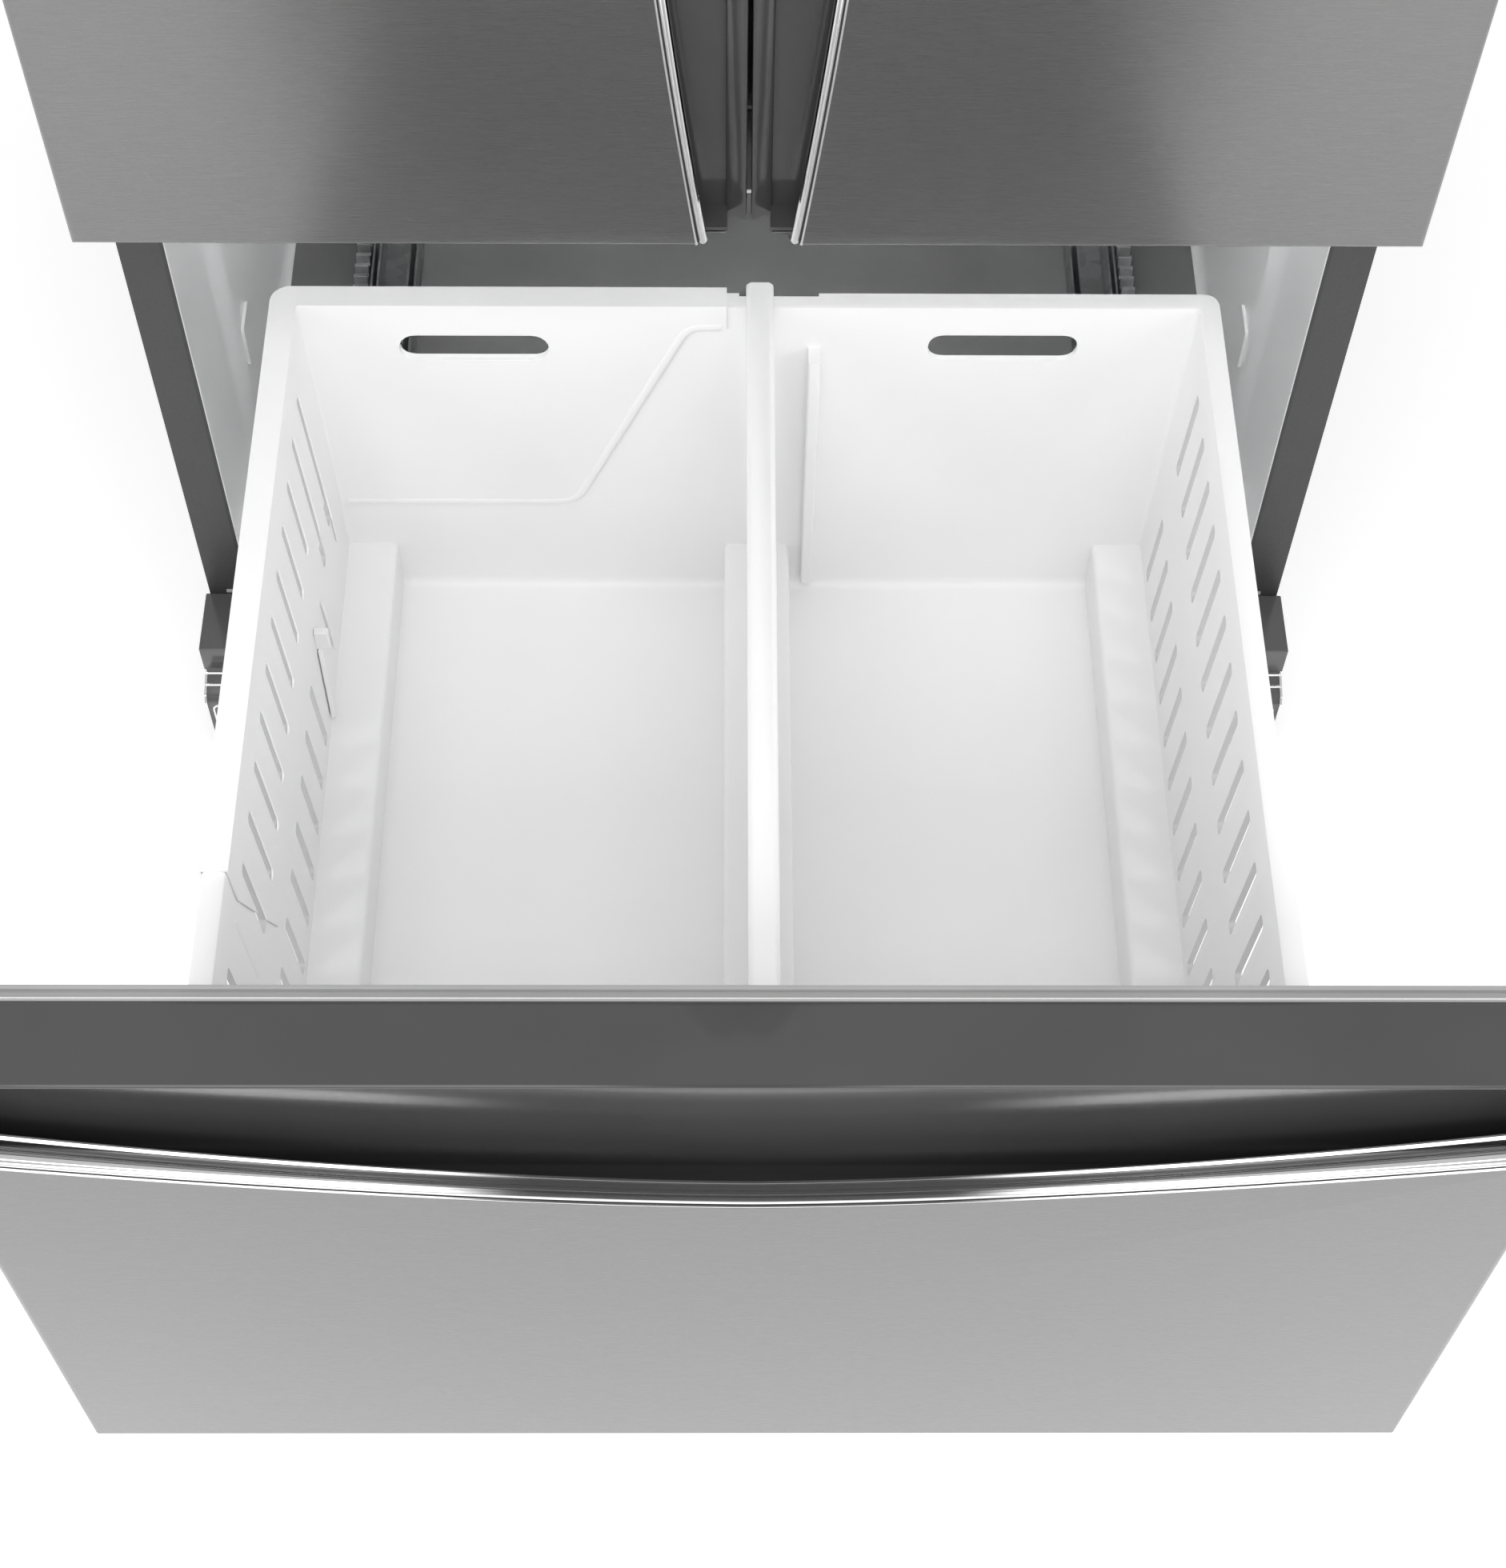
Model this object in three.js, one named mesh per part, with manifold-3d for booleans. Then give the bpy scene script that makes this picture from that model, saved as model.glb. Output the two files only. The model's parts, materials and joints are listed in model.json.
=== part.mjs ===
// French door refrigerator with a bottom freezer drawer, drawn with the drawer pulled out.
// Units are millimetres, +Z is up, +Y points into the cabinet and +X is the right-hand side.
// Sub-parts are laid out from the cabinet's front plane (y = 0) and the floor (z = 0). The last
// lines move the whole assembly so that the origin is the centre of its footprint.

import * as THREE from 'three';
import { mergeVertices } from 'three/addons/utils/BufferGeometryUtils.js';
import Module from 'manifold-3d';

const wasm = await Module();
wasm.setup();

// ---------------------------------------------------------------- driving dimensions

const GAP = 0.3;                      // clearance between touching pieces

// cabinet
const CASE_HALF = 454;
const CASE_DEPTH = 816;
const CASE_TOP = 1745;
const CASE_BOTTOM = 62;
const CASE_SHEET = 2;
const FLANGE = 31;                    // width of the front flange
const KICK_TOP = 120;                 // top of the base grille
const OPENING_HALF = CASE_HALF - FLANGE;
const OPENING_BOTTOM = KICK_TOP + 52;
const OPENING_TOP = CASE_TOP - FLANGE;
const MULLION = [590, 665];
const LINER_WALL = 3;
const LINER_REAR = 728;
const MACHINE_TOP = 302;              // roof of the compressor space
const MACHINE_FRONT = 689;

// doors and drawer front
const PANEL_DEPTH = 80;               // steel shell of a door or of the drawer front
const INNER_PANEL = 4;
const GASKET = 10;
const DOOR_FRONT = -(PANEL_DEPTH + INNER_PANEL + GASKET);
const DOOR_SPLIT = 1.5;               // half the slit between the two doors
const DOOR_Z = [630, 1738];
const HINGE_AXIS = [442, -50];
const DYKE_REAR = 30;                 // how far the doors' inner ridges reach into the cabinet

// freezer drawer
const TRAVEL = 646;
const DRAWER_FRONT = DOOR_FRONT - TRAVEL;
const DRAWER_Z = [128, 620];
const RAIL_CENTRE = 308;
const PINION_TEETH = 8;
const PINION_MODULE = 4;
const PINION_RADIUS = (PINION_TEETH * PINION_MODULE) / 2;
const PINION_Y = 10;
const PINION_Z = 221;
const RACK_X = 337;

// basket
const RIM_TOP = 505;
const RIM_HALF = 343;
const RIM_WIDTH = 15.5;
const BASKET_Y = [-634, -16.5];
const BASKET_FLOOR = 191;
const BASKET_WALL = 3;                // floor, tunnels and rib
const SIDE_WALL = 4.4;
const BASKET_TAPER = 0.036;
const RIM_CORNER = 12;
const INNER_CORNER = 4;
const LEDGE_TOP = 240;
const LEDGE_HALF = 279;
const DIVIDER_X = 9;
const RIB_HALF = 26;                  // half width of the floor's middle rib

// fresh food space
const SHELF_LEVELS = { shelf_upper: 1430, shelf_middle: 1180, crisper_cover: 935 };
const SHELF_Y = [150, 640];

// ---------------------------------------------------------------- finishes

const FINISH = {
  casePaint: { color: 0x5d5e60, roughness: 0.55, metalness: 0.2 },
  darkGloss: { color: 0x4c4d4f, roughness: 0.22, metalness: 0.0 },
  darkMatte: { color: 0x2f3032, roughness: 0.6, metalness: 0.0 },
  stainless: { color: 0xa9aaac, roughness: 0.32, metalness: 1.0 },
  chrome: { color: 0xe2e3e5, roughness: 0.06, metalness: 1.0 },
  linerWhite: { color: 0xe4e5e6, roughness: 0.35, metalness: 0.0 },
  basketWhite: { color: 0xf2f3f3, roughness: 0.4, metalness: 0.0 },
  gasketGrey: { color: 0xb4b5b7, roughness: 0.7, metalness: 0.0 },
  clear: { color: 0xdfe8e6, roughness: 0.08, metalness: 0.0 },
  zinc: { color: 0xb9babc, roughness: 0.35, metalness: 0.9 },
  blackSteel: { color: 0x1c1d1f, roughness: 0.45, metalness: 0.3 },
  fins: { color: 0xc6c8ca, roughness: 0.4, metalness: 0.9 },
  rubber: { color: 0x202122, roughness: 0.85, metalness: 0.0 },
};

// ---------------------------------------------------------------- solids from geometries

function toSolid(geometry) {
  const bare = geometry.clone();
  bare.deleteAttribute('normal');
  bare.deleteAttribute('uv');
  const merged = mergeVertices(bare, 1e-4);
  const vertProperties = new Float32Array(merged.attributes.position.array);
  const triVerts = new Uint32Array(merged.index.array);
  return new wasm.Manifold(new wasm.Mesh({ numProp: 3, vertProperties, triVerts }));
}

function toGeometry(solid) {
  const mesh = solid.getMesh();
  const geometry = new THREE.BufferGeometry();
  geometry.setAttribute('position', new THREE.BufferAttribute(mesh.vertProperties, 3));
  geometry.setIndex(new THREE.BufferAttribute(mesh.triVerts, 1));
  geometry.computeVertexNormals();
  return geometry;
}

// A copy of a solid carried over by a three.js matrix; a mirroring matrix turns the faces back out.
function moved(solid, matrix) {
  const geometry = toGeometry(solid).applyMatrix4(matrix);
  if (matrix.determinant() < 0) {
    const index = geometry.index.array;
    for (let i = 0; i < index.length; i += 3) {
      [index[i + 1], index[i + 2]] = [index[i + 2], index[i + 1]];
    }
  }
  return toSolid(geometry);
}

const MIRROR_X = new THREE.Matrix4().makeScale(-1, 1, 1);

// side is -1 for the left-hand copy of a solid drawn on the right
function onSide(solid, side) {
  return side < 0 ? moved(solid, MIRROR_X) : solid;
}

function box([x0, x1], [y0, y1], [z0, z1]) {
  const geometry = new THREE.BoxGeometry(x1 - x0, y1 - y0, z1 - z0);
  geometry.translate((x0 + x1) / 2, (y0 + y1) / 2, (z0 + z1) / 2);
  return toSolid(geometry);
}

function prism(points, length) {
  const shape = new THREE.Shape(points.map(([a, b]) => new THREE.Vector2(a, b)));
  return new THREE.ExtrudeGeometry(shape, { depth: length, bevelEnabled: false });
}

// outline points are [y, z]
function prismX(points, [x0, x1]) {
  const turn = new THREE.Matrix4().set(0, 0, 1, x0, 1, 0, 0, 0, 0, 1, 0, 0, 0, 0, 0, 1);
  return toSolid(prism(points, x1 - x0).applyMatrix4(turn));
}

// outline points are [x, z]
function prismY(points, [y0, y1]) {
  const turn = new THREE.Matrix4().set(1, 0, 0, 0, 0, 0, -1, y1, 0, 1, 0, 0, 0, 0, 0, 1);
  return toSolid(prism(points, y1 - y0).applyMatrix4(turn));
}

// outline points are [x, y]
function prismZ(points, [z0, z1]) {
  return toSolid(prism(points, z1 - z0).translate(0, 0, z0));
}

function cylinder(axis, radius, [from, to], [a, b], sides = 20) {
  const geometry = new THREE.CylinderGeometry(radius, radius, to - from, sides);
  const middle = (from + to) / 2;
  if (axis === 'x') geometry.rotateZ(Math.PI / 2).translate(middle, a, b);
  if (axis === 'y') geometry.translate(a, middle, b);
  if (axis === 'z') geometry.rotateX(Math.PI / 2).translate(a, b, middle);
  return toSolid(geometry);
}

function join(...solids) {
  return solids.reduce((all, next) => all.add(next));
}

function cut(solid, ...tools) {
  return tools.reduce((rest, tool) => rest.subtract(tool), solid);
}

function rectangle([x0, x1], [y0, y1]) {
  return [[x0, y0], [x1, y0], [x1, y1], [x0, y1]];
}

function roundedRectangle([x0, x1], [y0, y1], radius, steps = 3) {
  const points = [];
  const corners = [[x1 - radius, y0 + radius], [x1 - radius, y1 - radius],
    [x0 + radius, y1 - radius], [x0 + radius, y0 + radius]];
  corners.forEach(([cx, cy], corner) => {
    for (let i = 0; i <= steps; i += 1) {
      const angle = (corner - 1 + i / steps) * (Math.PI / 2);
      points.push([cx + radius * Math.cos(angle), cy + radius * Math.sin(angle)]);
    }
  });
  return points;
}

// A flat rectangular frame in the xz plane
function frameY([x0, x1], [z0, z1], width, y) {
  const outer = prismY(rectangle([x0, x1], [z0, z1]), y);
  const inner = prismY(rectangle([x0 + width, x1 - width], [z0 + width, z1 - width]),
    [y[0] - 1, y[1] + 1]);
  return cut(outer, inner);
}

// A box open at the top: outer size minus its inside
function openBox([x0, x1], [y0, y1], [z0, z1], wall) {
  const inside = box([x0 + wall, x1 - wall], [y0 + wall, y1 - wall], [z0 + wall, z1 + 1]);
  return cut(box([x0, x1], [y0, y1], [z0, z1]), inside);
}

// ---------------------------------------------------------------- the assembly

const assembly = new THREE.Group();

function addPart(name, solid, finish) {
  const mesh = new THREE.Mesh(toGeometry(solid), new THREE.MeshStandardMaterial(finish));
  mesh.name = name;
  assembly.add(mesh);
}

const SIDES = { left: -1, right: 1 };

function forBothSides(build) {
  Object.entries(SIDES).forEach(([word, side]) => build(word, side));
}

// ---------------------------------------------------------------- cabinet shell

function caseWrapper() {
  const outer = box([-CASE_HALF, CASE_HALF], [0, CASE_DEPTH], [CASE_BOTTOM, CASE_TOP]);
  const half = CASE_HALF - CASE_SHEET;
  const inside = box([-half, half], [CASE_SHEET, CASE_DEPTH + 1],
    [CASE_BOTTOM - 1, CASE_TOP - CASE_SHEET]);
  const window = box([-OPENING_HALF, OPENING_HALF], [-1, CASE_SHEET + 1],
    [OPENING_BOTTOM, OPENING_TOP]);
  return cut(outer, inside, window);
}

function backPanel() {
  const half = CASE_HALF - CASE_SHEET - GAP;
  return box([-half, half], [CASE_DEPTH - 4, CASE_DEPTH - 2],
    [MACHINE_TOP + 2, CASE_TOP - CASE_SHEET - GAP]);
}

const ROLLER = { radius: 20, x: 400, y: 740, halfWidth: 11 };

function basePan() {
  const half = CASE_HALF - CASE_SHEET - GAP;
  let pan = box([-half, half], [30, CASE_DEPTH - 6], [CASE_BOTTOM, CASE_BOTTOM + 2]);
  for (const side of [-1, 1]) {
    for (const edge of [-1, 1]) {
      const x = side * ROLLER.x + edge * (ROLLER.halfWidth + 3);
      const ear = box([x - 1.5, x + 1.5], [ROLLER.y - 16, ROLLER.y + 16], [8, CASE_BOTTOM + 1]);
      pan = pan.add(ear);
      pan = pan.subtract(cylinder('x', 4.4, [x - 3, x + 3], [ROLLER.y, ROLLER.radius], 12));
    }
  }
  return pan;
}

function rearRoller(side) {
  const middle = side * ROLLER.x;
  const reach = ROLLER.halfWidth + 5;
  const wheel = cylinder('x', ROLLER.radius, [middle - ROLLER.halfWidth, middle + ROLLER.halfWidth],
    [ROLLER.y, ROLLER.radius], 24);
  return wheel.add(cylinder('x', 4, [middle - reach, middle + reach],
    [ROLLER.y, ROLLER.radius], 12));
}

function levelingLeg(side) {
  const x = side * 410;
  const y = 62;
  const foot = cylinder('z', 20, [0, 10], [x, y], 6);
  return foot.add(cylinder('z', 7, [9, CASE_BOTTOM - GAP], [x, y], 12));
}

function mullionRail() {
  const half = OPENING_HALF - GAP;
  return box([-half, half], [0, 60], MULLION);
}

// Both liners have a wide throat behind the flange and step in to LINER_HALF further back
const LINER_HALF = 412;
const FREEZER_THROAT = [97, 122];     // where the step starts and ends
const FRESH_THROAT = [30, 45];
const TRAY_LEDGE = { y: [140, 640], z: [510, 517], width: 14 };
const SWITCH_PAD = { y: [126, 160], z: [262, 306] };

function linerPlan(offset, front, rear, [lip, stepEnd]) {
  const lipHalf = OPENING_HALF - GAP - offset;
  const bodyHalf = LINER_HALF + LINER_WALL - offset;
  const right = [[lipHalf, front], [lipHalf, lip], [bodyHalf, stepEnd], [bodyHalf, rear]];
  const left = right.map(([x, y]) => [-x, y]).reverse();
  return [...right, ...left];
}

function freshFoodLiner() {
  const bottom = MULLION[1] + GAP;
  const top = OPENING_TOP - GAP;
  const outer = prismZ(linerPlan(0, GAP, LINER_REAR, FRESH_THROAT), [bottom, top]);
  const inside = prismZ(linerPlan(LINER_WALL, -1, LINER_REAR - LINER_WALL, FRESH_THROAT),
    [bottom + LINER_WALL, top - LINER_WALL]);
  let liner = cut(outer, inside);
  for (const level of Object.values(SHELF_LEVELS)) {
    for (const side of [-1, 1]) {
      const ledge = box([LINER_HALF - 10, LINER_HALF + 1], SHELF_Y, [level - 10, level]);
      liner = liner.add(onSide(ledge, side));
    }
  }
  return liner;
}

function freezerLiner() {
  const bottom = OPENING_BOTTOM + GAP;
  const top = MULLION[0] - GAP;
  const profile = (inset, front) => [[front, bottom + inset], [MACHINE_FRONT - inset, bottom + inset],
    [MACHINE_FRONT - inset, MACHINE_TOP + inset], [LINER_REAR - inset, MACHINE_TOP + inset],
    [LINER_REAR - inset, top - inset], [front, top - inset]];
  const wide = [-CASE_HALF, CASE_HALF];
  const tall = [bottom - 1, top + 1];
  const outer = prismX(profile(0, GAP), wide)
    .intersect(prismZ(linerPlan(0, GAP, LINER_REAR, FREEZER_THROAT), tall));
  const inside = prismX(profile(LINER_WALL, -1), wide)
    .intersect(prismZ(linerPlan(LINER_WALL, -1, LINER_REAR, FREEZER_THROAT), tall));
  let liner = cut(outer, inside);
  for (const side of [-1, 1]) {
    const ledge = box([LINER_HALF - TRAY_LEDGE.width, LINER_HALF + 1], TRAY_LEDGE.y, TRAY_LEDGE.z);
    liner = liner.add(onSide(ledge, side));
    const switchPad = box([LINER_HALF - 3, LINER_HALF + 1], SWITCH_PAD.y, SWITCH_PAD.z);
    liner = liner.add(onSide(switchPad, side));
  }
  return liner;
}

function freezerFloorPlate() {
  const level = OPENING_BOTTOM + GAP + LINER_WALL + GAP;
  return box([-404, 404], [8, MACHINE_FRONT - LINER_WALL - GAP], [level, level + 1.5]);
}

const GRILLE_HALF = CASE_HALF + 3;
const GRILLE_SLOTS = { count: 9, rows: [28, 50], margin: 30, half: 38, height: 8 };

// The toe kick: a bent cover with a flat top, a stepped lip and a slotted lower face,
// open at its back and underside
function baseGrille() {
  const half = GRILLE_HALF;
  const outer = [[-2, KICK_TOP], [-61, KICK_TOP], [-61, 87], [-80, 80], [-84, 75], [-84, 8],
    [-2, 8]];
  const inner = [[-1, KICK_TOP - 3], [-58, KICK_TOP - 3], [-58, 84.5], [-78, 77.5], [-81, 74],
    [-81, 7], [-1, 7]];
  let grille = cut(prismX(outer, [-half, half]), prismX(inner, [-half + 2.5, half - 2.5]));
  const { count, rows, margin, half: slotHalf, height } = GRILLE_SLOTS;
  const pitch = (2 * (half - margin)) / count;
  for (let i = 0; i < count; i += 1) {
    const middle = -half + margin + (i + 0.5) * pitch;
    for (const z of rows) {
      grille = grille.subtract(box([middle - slotHalf, middle + slotHalf], [-86, -80],
        [z - height / 2, z + height / 2]));
    }
  }
  return grille;
}

addPart('case_wrapper', caseWrapper(), FINISH.casePaint);
addPart('back_panel', backPanel(), FINISH.zinc);
addPart('base_pan', basePan(), FINISH.zinc);
addPart('mullion_rail', mullionRail(), FINISH.casePaint);
addPart('freshfood_liner', freshFoodLiner(), FINISH.linerWhite);
addPart('freezer_liner', freezerLiner(), FINISH.linerWhite);
addPart('freezer_floor_plate', freezerFloorPlate(), FINISH.darkGloss);
addPart('base_grille', baseGrille(), FINISH.darkGloss);
forBothSides((word, side) => {
  addPart(`leveling_leg_${word}`, levelingLeg(side), FINISH.blackSteel);
  addPart(`rear_roller_${word}`, rearRoller(side), FINISH.rubber);
});

// ---------------------------------------------------------------- door hinges

const HINGE_PIN = 6;
const HINGE_HOLE = HINGE_PIN + 0.4;

// Drawn on the right: a plate on the cabinet's roof with a pin that drops into the door
function topHinge() {
  const [axisX, axisY] = HINGE_AXIS;
  const bottom = CASE_TOP + GAP;
  const outline = [[axisX - 16, axisY - 12], [axisX + 10, axisY - 12], [axisX + 10, 70],
    [axisX - 60, 70], [axisX - 60, 10]];
  const plate = prismZ(outline, [bottom, bottom + 4]);
  return plate.add(cylinder('z', HINGE_PIN, [DOOR_Z[1] - 16, bottom + 2], HINGE_AXIS));
}

function hingeCover() {
  const [axisX] = HINGE_AXIS;
  const bottom = CASE_TOP + 4 + 2 * GAP;
  const outer = box([axisX - 74, axisX + 11], [-74, 84], [bottom, 1775]);
  return cut(outer, box([axisX - 72, axisX + 9], [-72, 82], [bottom - 1, 1773]));
}

// Drawn on the right: an angle on the flange beside the mullion, with a pin up into the door
function centerHinge() {
  const [axisX, axisY] = HINGE_AXIS;
  const leg = box([axisX, axisX + 10], [-4, -GAP], [613, 646]);
  const plate = box([axisX - 24, axisX + 10], [axisY - 12, -GAP], [623, 627]);
  return join(leg, plate, cylinder('z', HINGE_PIN, [625, DOOR_Z[0] + 16], HINGE_AXIS));
}

forBothSides((word, side) => {
  addPart(`top_hinge_${word}`, onSide(topHinge(), side), FINISH.zinc);
  addPart(`hinge_cover_${word}`, onSide(hingeCover(), side), FINISH.darkMatte);
  addPart(`center_hinge_${word}`, onSide(centerHinge(), side), FINISH.zinc);
});

// ---------------------------------------------------------------- steel fronts with an arched grip
// A front panel is drawn lying like the drawer's: x along the grip, the grip edge at z = 0,
// the steel face at y = 0 and the panel running down to z = -height.

const CAP_THICK = 14;
const CAP_RECESS = 25;                // how far the cap's nose stands behind the steel face
const POCKET_REAR = 36;
const LIP = { depth: 9, height: 10 };
const ARCH_POWER = 1.6;
const ARCH_STEPS = 24;

function archPoints(spec, lift) {
  const points = [];
  for (let i = 0; i <= ARCH_STEPS; i += 1) {
    const t = (2 * i) / ARCH_STEPS - 1;
    const z = -spec.archDepth + spec.archRise * Math.abs(t) ** ARCH_POWER + lift;
    points.push([(t * spec.length) / 2, z]);
  }
  return points;
}

function aboveArch(spec, lift, y) {
  const arch = archPoints(spec, lift);
  const over = spec.length / 2 + 1;
  const ends = [[over, arch[0][1]], [over, 1], [-over, 1], [-over, arch[0][1]]];
  return prismY([...arch, ...ends], y);
}

function panelSkin(spec) {
  const half = spec.length / 2;
  const outer = box([-half, half], [0, PANEL_DEPTH], [-spec.height, -CAP_THICK - GAP]);
  const inside = box([-half + 2, half - 2], [2, PANEL_DEPTH + 1], [-spec.height + 2, 1]);
  return cut(outer, inside, aboveArch(spec, -GAP, [-1, 13 + GAP]));
}

function pocketCurve(offset) {
  const points = [];
  const middle = (5.3 + POCKET_REAR) / 2;
  for (let i = 0; i <= 6; i += 1) {
    const angle = Math.PI * (1 + i / 6);
    points.push([middle + (15.35 + offset) * Math.cos(angle), (18 + offset) * Math.sin(angle)]);
  }
  return points;
}

function panelCap(spec) {
  const half = spec.length / 2;
  const inner = half - 2 - GAP;
  const floor = -spec.archDepth - 19;
  const nose = [[CAP_RECESS + 3, -CAP_THICK], [PANEL_DEPTH, -CAP_THICK], [PANEL_DEPTH, 0],
    [CAP_RECESS + 2, 0], [CAP_RECESS, -2], [CAP_RECESS, -CAP_THICK + 3]];
  const top = prismX(nose, [-half, half]);
  const curveIn = pocketCurve(0).map(([y, z]) => [y, z + floor]);
  const curveOut = pocketCurve(3).map(([y, z]) => [y, z + floor]).reverse();
  const wall = [[5.3, -1], ...curveIn, [POCKET_REAR, -CAP_THICK + 1],
    [POCKET_REAR + 3, -CAP_THICK + 1], ...curveOut, [2.3, -1]];
  const pocket = cut(prismX(wall, [-inner, inner]), aboveArch(spec, -GAP, [-1, 8]));
  const ends = [-1, 1].map((side) => {
    const outline = [[13.6, -CAP_THICK + 1], [13.6, floor], [20, floor - 17],
      [POCKET_REAR, floor - 5], [POCKET_REAR + 1, -CAP_THICK + 1]];
    return onSide(prismX(outline, [inner - 3, inner]), side);
  });
  return join(top, pocket, ...ends);
}

function panelLip(spec) {
  const low = archPoints(spec, 0);
  const high = archPoints(spec, LIP.height).reverse();
  return prismY([...low, ...high], [0, LIP.depth]);
}

const DRAWER_PANEL = {
  length: 2 * CASE_HALF,
  height: DRAWER_Z[1] - DRAWER_Z[0],
  archDepth: 103,
  archRise: 58,
};

const DOOR_PANEL = {
  length: DOOR_Z[1] - DOOR_Z[0],
  height: CASE_HALF - DOOR_SPLIT,
  archDepth: 78,
  archRise: 44,
};

// ---------------------------------------------------------------- doors

// Turns a lying panel upright as the right-hand door, its grip edge at the cabinet's middle
function standAsDoor(solid) {
  const turn = new THREE.Matrix4().makeRotationY(-Math.PI / 2);
  const place = new THREE.Matrix4().makeTranslation(DOOR_SPLIT, DOOR_FRONT,
    (DOOR_Z[0] + DOOR_Z[1]) / 2);
  return moved(solid, place.multiply(turn));
}

function hingeHoles(radius) {
  return [cylinder('z', radius, [DOOR_Z[0] - 2, DOOR_Z[0] + 18], HINGE_AXIS),
    cylinder('z', radius, [DOOR_Z[1] - 18, DOOR_Z[1] + 2], HINGE_AXIS)];
}

// the ridge round the inner door, which the bins hang between
const DYKE_X = [36, 406];
const DYKE_Z = [674, 1706];
const DYKE_WALL = 18;
const BIN = { x: [57, 385], y: [-9, 105], height: 110, levels: { upper: 1420, lower: 1090 } };
const FLIPPER = { x: [-28, 22], y: [0.3, 14], z: [684, 1694], axis: [-24, 7.2] };

// Lugs on the ridges that stand beside each bin
function binLugs(level, front) {
  const spans = [[DYKE_X[0] + DYKE_WALL - 1, BIN.x[0] - GAP],
    [BIN.x[1] + GAP, DYKE_X[1] - DYKE_WALL + 1]];
  return spans.map((x) => box(x, [front, 20], [level + 30, level + 40]));
}

// Arms that reach past the left door's edge, with the pins that the folding bar turns on
function flipperArms() {
  const [axisX, axisY] = FLIPPER.axis;
  const [low, high] = FLIPPER.z;
  const arms = [[low - 8, low - GAP], [high + GAP, high + 8]]
    .map((z) => box([-axisX - 6, DYKE_X[0] + 1], [1, 13.5], z));
  const pins = [[low - 2, low + 6], [high - 6, high + 2]]
    .map((z) => cylinder('z', 3, z, [-axisX, axisY], 12));
  return [...arms, ...pins];
}

// Drawn on the right; only the left-hand copy carries the arms of the folding bar
function doorLiner(side) {
  const y0 = DOOR_FRONT + PANEL_DEPTH + GAP;
  const y1 = y0 + INNER_PANEL - GAP;
  const sheet = box([DOOR_SPLIT, CASE_HALF], [y0, y1], DOOR_Z);
  const dyke = frameY(DYKE_X, DYKE_Z, DYKE_WALL, [y1 - 1, DYKE_REAR]);
  const lugs = Object.values(BIN.levels).flatMap((level) => binLugs(level, y1 - 1));
  const arms = side < 0 ? flipperArms() : [];
  return join(sheet, dyke, ...lugs, ...arms);
}

// The bar behind the slit between the doors, hung on the left door's inner edge
function mullionFlipper() {
  const bar = prismZ(roundedRectangle(FLIPPER.x, FLIPPER.y, 3, 2), FLIPPER.z);
  const holes = [[FLIPPER.z[0] - 1, FLIPPER.z[0] + 8], [FLIPPER.z[1] - 8, FLIPPER.z[1] + 1]]
    .map((z) => cylinder('z', 3.4, z, FLIPPER.axis, 12));
  return cut(bar, ...holes);
}

function doorGasket() {
  const y1 = -GAP;
  const y0 = -GASKET + GAP;
  return frameY([8, 440], [DOOR_Z[0] + 12, DOOR_Z[1] - 8], 14, [y0, y1]);
}

// A bin that hangs between the door's ridges on two side lugs
function doorBin(level) {
  let bin = openBox(BIN.x, BIN.y, [level, level + BIN.height], 2.5);
  bin = bin.add(box([BIN.x[0], BIN.x[1]], [BIN.y[1] - 4, BIN.y[1] + 3],
    [level + BIN.height - 8, level + BIN.height]));
  return bin;
}

forBothSides((word, side) => {
  const skin = cut(standAsDoor(panelSkin(DOOR_PANEL)), ...hingeHoles(HINGE_HOLE));
  addPart(`door_skin_${word}`, onSide(skin, side), FINISH.stainless);
  addPart(`door_cap_${word}`, onSide(standAsDoor(panelCap(DOOR_PANEL)), side), FINISH.darkGloss);
  addPart(`door_lip_${word}`, onSide(standAsDoor(panelLip(DOOR_PANEL)), side), FINISH.chrome);
  addPart(`door_liner_${word}`, onSide(doorLiner(side), side), FINISH.linerWhite);
  addPart(`door_gasket_${word}`, onSide(doorGasket(), side), FINISH.gasketGrey);
  for (const [place, level] of Object.entries(BIN.levels)) {
    addPart(`bin_${word}_${place}`, onSide(doorBin(level), side), FINISH.clear);
  }
});
addPart('mullion_flipper', mullionFlipper(), FINISH.darkMatte);

// ---------------------------------------------------------------- freezer drawer front

function layAsDrawer(solid) {
  return moved(solid, new THREE.Matrix4().makeTranslation(0, DRAWER_FRONT, DRAWER_Z[1]));
}

function drawerInnerPanel() {
  const y0 = DRAWER_FRONT + PANEL_DEPTH + GAP;
  const y1 = y0 + INNER_PANEL - GAP;
  const sheet = box([-CASE_HALF + 1, CASE_HALF - 1], [y0, y1], [DRAWER_Z[0] + 1, DRAWER_Z[1] - 2]);
  return sheet.add(frameY([-395, 395], [255, 578], 14, [y1 - 1, y1 + 10]));
}

function drawerGasket() {
  const y1 = DRAWER_FRONT - DOOR_FRONT - GAP;
  return frameY([-440, 440], [142, 614], 15, [y1 - GASKET + 2 * GAP, y1]);
}

addPart('drawer_skin', layAsDrawer(panelSkin(DRAWER_PANEL)), FINISH.stainless);
addPart('drawer_cap', layAsDrawer(panelCap(DRAWER_PANEL)), FINISH.darkGloss);
addPart('drawer_lip', layAsDrawer(panelLip(DRAWER_PANEL)), FINISH.chrome);
addPart('drawer_inner_panel', drawerInnerPanel(), FINISH.linerWhite);
addPart('drawer_gasket', drawerGasket(), FINISH.gasketGrey);

// ---------------------------------------------------------------- telescopic slides and rack

const CHANNEL = { base: 177.8, y: [4, 672], half: 20, wall: 2, height: 30 };
const PITCH = Math.PI * PINION_MODULE;

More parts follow.
